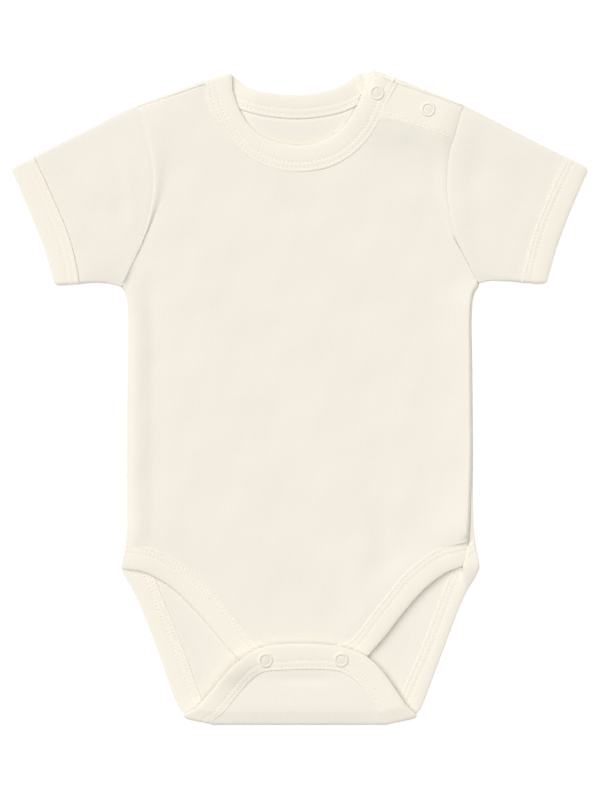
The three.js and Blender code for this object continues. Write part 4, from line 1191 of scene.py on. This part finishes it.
def knit_group():
    """Height and tone of a knit: a sine wave across the wales, broken up by stretched noise. Inputs are the
    grain coordinate, the number of wales in a metre and how uneven the yarn is."""
    group = bpy.data.node_groups.new("knit", "ShaderNodeTree")
    sockets = group.interface
    sockets.new_socket("Grain", in_out="INPUT", socket_type="NodeSocketVector")
    for name in ("Wales per metre", "Unevenness"):
        sockets.new_socket(name, in_out="INPUT", socket_type="NodeSocketFloat")
    sockets.new_socket("Height", in_out="OUTPUT", socket_type="NodeSocketFloat")
    sockets.new_socket("Tone", in_out="OUTPUT", socket_type="NodeSocketFloat")
    inside, outside = group.nodes.new("NodeGroupInput"), group.nodes.new("NodeGroupOutput")
    link = group.links.new

    def maths(operation, a, b=None, c=None):
        made = node(group, "ShaderNodeMath", operation=operation)
        for socket, value in zip(made.inputs, (a, b, c)):
            if isinstance(value, bpy.types.NodeSocket):
                link(value, socket)
            elif value is not None:
                socket.default_value = value
        return made.outputs[0]

    split = group.nodes.new("ShaderNodeSeparateXYZ")
    link(inside.outputs["Grain"], split.inputs[0])
    wander = node(group, "ShaderNodeTexNoise", noise_dimensions="3D")
    wander.inputs["Scale"].default_value = 70
    wander.inputs["Detail"].default_value = 2
    link(inside.outputs["Grain"], wander.inputs["Vector"])
    shifted = maths("MULTIPLY_ADD", wander.outputs["Fac"], 0.0012, split.outputs["X"])
    turns = maths("MULTIPLY", shifted, inside.outputs["Wales per metre"])
    wales = maths("SINE", maths("MULTIPLY", turns, 2 * np.pi))
    stretch = node(group, "ShaderNodeMapping")
    stretch.inputs["Scale"].default_value = (1.0, 0.22, 1.0)
    link(inside.outputs["Grain"], stretch.inputs["Vector"])
    yarn = node(group, "ShaderNodeTexNoise", noise_dimensions="3D")
    yarn.inputs["Scale"].default_value = 900
    yarn.inputs["Detail"].default_value = 3
    link(stretch.outputs[0], yarn.inputs["Vector"])
    uneven = maths("MULTIPLY", maths("SUBTRACT", yarn.outputs["Fac"], 0.5), inside.outputs["Unevenness"])
    height = maths("MULTIPLY_ADD", uneven, 3.0, wales)
    link(height, outside.inputs["Height"])
    cloud = node(group, "ShaderNodeTexNoise", noise_dimensions="3D")
    cloud.inputs["Scale"].default_value = 22
    cloud.inputs["Detail"].default_value = 3
    link(inside.outputs["Grain"], cloud.inputs["Vector"])
    tone = maths("ADD", maths("MULTIPLY", wales, 0.12), maths("MULTIPLY_ADD", cloud.outputs["Fac"], 0.5, uneven))
    link(tone, outside.inputs["Tone"])
    return group


KNIT = knit_group()


# %% [markdown]
# The cloth is matt and slightly uneven in tone. The colour moves between a light and a darker value with
# the knit, is a shade lighter where the front lies double, and the knit's height goes in as bump.

# %% Knit materials
def linear(*rgb):
    """Colour for the shader from values read on the photo, out of 255."""
    c = np.array(rgb) / 255
    return tuple(np.where(c <= 0.04045, c / 12.92, ((c + 0.055) / 1.055) ** 2.4))


DOUBLED_COLOUR = linear(245, 240, 227.5)


def knit_material(name, colour, shade, wales, depth, unevenness):
    """Matt cotton: base colour between a light and a slightly darker tone, knit as bump, and a little
    fuzz."""
    material = bpy.data.materials.new(name)
    material.use_nodes = True
    tree = material.node_tree
    shader = tree.nodes["Principled BSDF"]
    grain = node(tree, "ShaderNodeUVMap", uv_map="grain")
    knit = node(tree, "ShaderNodeGroup", node_tree=KNIT)
    knit.inputs["Wales per metre"].default_value = wales
    knit.inputs["Unevenness"].default_value = unevenness
    mix = node(tree, "ShaderNodeMix", data_type="RGBA")
    mix.inputs["A"].default_value = (*shade, 1)
    mix.inputs["B"].default_value = (*colour, 1)
    bump = node(tree, "ShaderNodeBump")
    bump.inputs["Strength"].default_value = 1.0
    bump.inputs["Distance"].default_value = depth
    links = tree.links.new
    links(grain.outputs[0], knit.inputs["Grain"])
    links(knit.outputs["Tone"], mix.inputs["Factor"])
    twice = node(tree, "ShaderNodeAttribute", attribute_name="doubled")
    lighter = node(tree, "ShaderNodeMix", data_type="RGBA")
    lighter.inputs["B"].default_value = (*DOUBLED_COLOUR, 1)
    links(twice.outputs["Fac"], lighter.inputs["Factor"])
    links(mix.outputs["Result"], lighter.inputs["A"])
    links(lighter.outputs["Result"], shader.inputs["Base Color"])
    links(knit.outputs["Height"], bump.inputs["Height"])
    links(bump.outputs[0], shader.inputs["Normal"])
    shader.inputs["Roughness"].default_value = 0.92
    shader.inputs["Specular IOR Level"].default_value = 0.25
    shader.inputs["Sheen Weight"].default_value = 0.08
    shader.inputs["Sheen Roughness"].default_value = 0.6
    return material


INTERLOCK_LIGHT, INTERLOCK_SHADE = linear(245.5, 241.5, 231.5), linear(240, 235.5, 224.5)
RIB_LIGHT, RIB_SHADE = linear(249, 244.5, 233.5), linear(244.5, 239.5, 228)
interlock = knit_material("cotton_interlock", INTERLOCK_LIGHT, INTERLOCK_SHADE, 720, 0.00002, 0.5)
sleeve_interlock = knit_material("sleeve_interlock", INTERLOCK_LIGHT, INTERLOCK_SHADE, 720, 0.00002, 0.5)
rib_knit = knit_material("cotton_rib", RIB_LIGHT, RIB_SHADE, 760, 0.000025, 0.4)

# %% [markdown]
# ## Thread and snap materials
# The thread is smooth cotton-wrapped polyester, a shade lighter than the rib. The ring is milky moulded
# plastic with a soft gloss. The cloth domed up in a ring's middle is coloured a shade darker than the rib
# round it: painted shade of the hollow in the ring.

# %% Thread and snap materials
def plain_material(name, colour, roughness, grain_scale, grain_depth, **sockets):
    """A smooth finish with fine noise in its height and tone."""
    material = bpy.data.materials.new(name)
    material.use_nodes = True
    tree = material.node_tree
    shader = tree.nodes["Principled BSDF"]
    place = tree.nodes.new("ShaderNodeTexCoord")
    noise = node(tree, "ShaderNodeTexNoise", noise_dimensions="3D")
    noise.inputs["Scale"].default_value = grain_scale
    mix = node(tree, "ShaderNodeMix", data_type="RGBA")
    mix.inputs["A"].default_value = (*(0.96 * np.array(colour)), 1)
    mix.inputs["B"].default_value = (*colour, 1)
    bump = node(tree, "ShaderNodeBump")
    bump.inputs["Distance"].default_value = grain_depth
    tree.links.new(place.outputs["Object"], noise.inputs["Vector"])
    tree.links.new(noise.outputs["Fac"], mix.inputs["Factor"])
    tree.links.new(mix.outputs["Result"], shader.inputs["Base Color"])
    tree.links.new(noise.outputs["Fac"], bump.inputs["Height"])
    tree.links.new(bump.outputs[0], shader.inputs["Normal"])
    shader.inputs["Roughness"].default_value = roughness
    for socket, value in sockets.items():
        shader.inputs[socket.replace("_", " ")].default_value = value
    return material


# The snap's middle is a shade darker than the rib round it: painted shade of the hollow inside the ring.
DOME_SHADED_COLOUR, THREAD_COLOUR = linear(242, 237, 224), linear(249, 245, 233)
RING_COLOUR = linear(245, 240.5, 230)
dome_cloth_painted_shade = plain_material("dome_cloth_painted_shade", DOME_SHADED_COLOUR, 0.9, 2500, 0.00001, Specular_IOR_Level=0.2)
thread = plain_material("sewing_thread", THREAD_COLOUR, 0.7, 4000, 0.00003)
snap_plastic = plain_material("snap_plastic", RING_COLOUR, 0.5, 1500, 0.000004, Specular_IOR_Level=0.25)

# %% [markdown]
# ## Which piece stands for which solid
# Every shell replaces its imported solid and rides on the one body. The hidden closures of the snaps keep
# their imported solids. For each cloth piece the cut as a sheet is printed, as far as it shows: a folded
# rib counts once.

# %% Replace, ride and declare
def dress(piece, material, slot, *nodes):
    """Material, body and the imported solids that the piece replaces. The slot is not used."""
    piece.data.materials.append(material)
    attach(piece, "root")
    if nodes:
        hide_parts(*nodes)


dress(front_panel, interlock, "body_cloth", "front_panel")
dress(back_panel, interlock, "body_cloth", "back_panel")
dress(neckband, rib_knit, "rib", "neckband")
dress(front_leg, rib_knit, "rib", "front_leg_binding")
dress(back_leg, rib_knit, "rib", "back_leg_binding")
for side, (sleeve, _, cuff) in sleeves.items():
    dress(sleeve, sleeve_interlock, "sleeve_cloth", f"sleeve_{side}")
    dress(cuff[0], rib_knit, "rib", f"cuff_{side}")
for piece in stitching.values():
    dress(piece, thread, "rib")
for name in SNAPS:
    dress(snap_rings[name], snap_plastic, "snap", f"snap_cap_{name}")
    # The dome takes the darker colour, which paints the shade inside the ring.
    dress(snap_domes[name], dome_cloth_painted_shade, "rib")
    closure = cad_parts[f"snap_closure_{name}"]
    for finish in closure.material_slots:
        finish.material = snap_plastic


def declare(piece, width, length, area):
    """State the cut of a sheet from its width and length in millimetres. Its area can't pass that of the
    cut."""
    width, length = width * MM, length * MM
    area = min(area, width * length)
    print(f"{piece.name}: cut {width * 1000:.0f} x {length * 1000:.0f} mm, {area * 1e4:.0f} square centimetres")


declare(front_panel, 228, 358, front_area)
declare(back_panel, 229, 460, back_area)
declare(neckband, 17.5, neckband_length, neckband_area)
declare(front_leg, 17, front_leg_length, front_leg_area)
declare(back_leg, 17, back_leg_length, back_leg_area)
for side, (sleeve, (area, length), cuff) in sleeves.items():
    declare(sleeve, 250, length + 12, area)
    declare(cuff[0], 16.5, cuff[2] + 10, cuff[1])

# %% [markdown]
# ## Floor, light and camera
# The photo is a cut-out on white, seen from straight above. A large soft light from the upper left models
# the folds, an even light from above fills the shadows, and the floor is pale enough to come out as the
# white ground. The camera stands far off with a long lens, so that the sides of the garment aren't seen.

# %% Stage
PIXEL = 0.635 * MM
FRAME_WIDTH, FRAME_HEIGHT = 600, 800
PHOTO_MIDDLE = (299.5, 397.0)
CAMERA_HEIGHT = 4.0
FLOOR_Z = -0.0001


def floor_plane(size=3.0):
    """A pale square just below the cloth."""
    mesh = bpy.data.meshes.new("floor")
    corners = [(-size, -size, FLOOR_Z), (size, -size, FLOOR_Z), (size, size, FLOOR_Z), (-size, size, FLOOR_Z)]
    mesh.from_pydata(corners, [], [(0, 1, 2, 3)])
    piece = bpy.data.objects.new("floor", mesh)
    bpy.context.collection.objects.link(piece)
    material = bpy.data.materials.new("pale_floor")
    material.use_nodes = True
    shader = material.node_tree.nodes["Principled BSDF"]
    shader.inputs["Base Color"].default_value = (0.97, 0.97, 0.97, 1)
    shader.inputs["Roughness"].default_value = 0.9
    shader.inputs["Specular IOR Level"].default_value = 0.1
    shader.inputs["Emission Color"].default_value = (1, 1, 1, 1)
    shader.inputs["Emission Strength"].default_value = 0.28
    mesh.materials.append(material)
    return piece


floor_plane()


def window_light(name, towards, strength, spread):
    """Light of a large, far window: parallel rays with a wide spread, so that it is even over the whole
    table."""
    light = bpy.data.lights.new(name, "SUN")
    light.energy, light.angle = strength, np.radians(spread)
    lamp = bpy.data.objects.new(name, light)
    x, y, z = np.array(towards, float) / np.linalg.norm(towards)
    lamp.rotation_euler = (0, float(np.arccos(z)), float(np.arctan2(y, x)))
    bpy.context.collection.objects.link(lamp)


window_light("window", (-0.72, 0.8, 1.0), 1.5, 45)
window_light("overhead", (0.0, 0.0, 1.0), 1.45, 60)
world = bpy.data.worlds.new("room")
bpy.context.scene.world = world
world.use_nodes = True
world.node_tree.nodes["Background"].inputs["Color"].default_value = (1.0, 0.955, 0.88, 1)
world.node_tree.nodes["Background"].inputs["Strength"].default_value = 0.23

# %% [markdown]
# The long lens is worked out from the height of the camera and the width of the photo, so that one pixel is
# 0.635 mm at the floor, as measured on the snaps.

# %% Camera
camera = bpy.data.cameras.new("camera")
camera.sensor_width = 36
camera.lens = 36 * CAMERA_HEIGHT / (FRAME_HEIGHT * PIXEL)
camera.clip_end = 20
seen_from = bpy.data.objects.new("camera", camera)
seen_from.location = (
    (FRAME_WIDTH / 2 - PHOTO_MIDDLE[0]) * PIXEL, (PHOTO_MIDDLE[1] - FRAME_HEIGHT / 2) * PIXEL, CAMERA_HEIGHT)
bpy.context.collection.objects.link(seen_from)
bpy.context.scene.camera = seen_from
bpy.context.scene.view_settings.view_transform = "Standard"
bpy.context.scene.view_settings.look = "None"
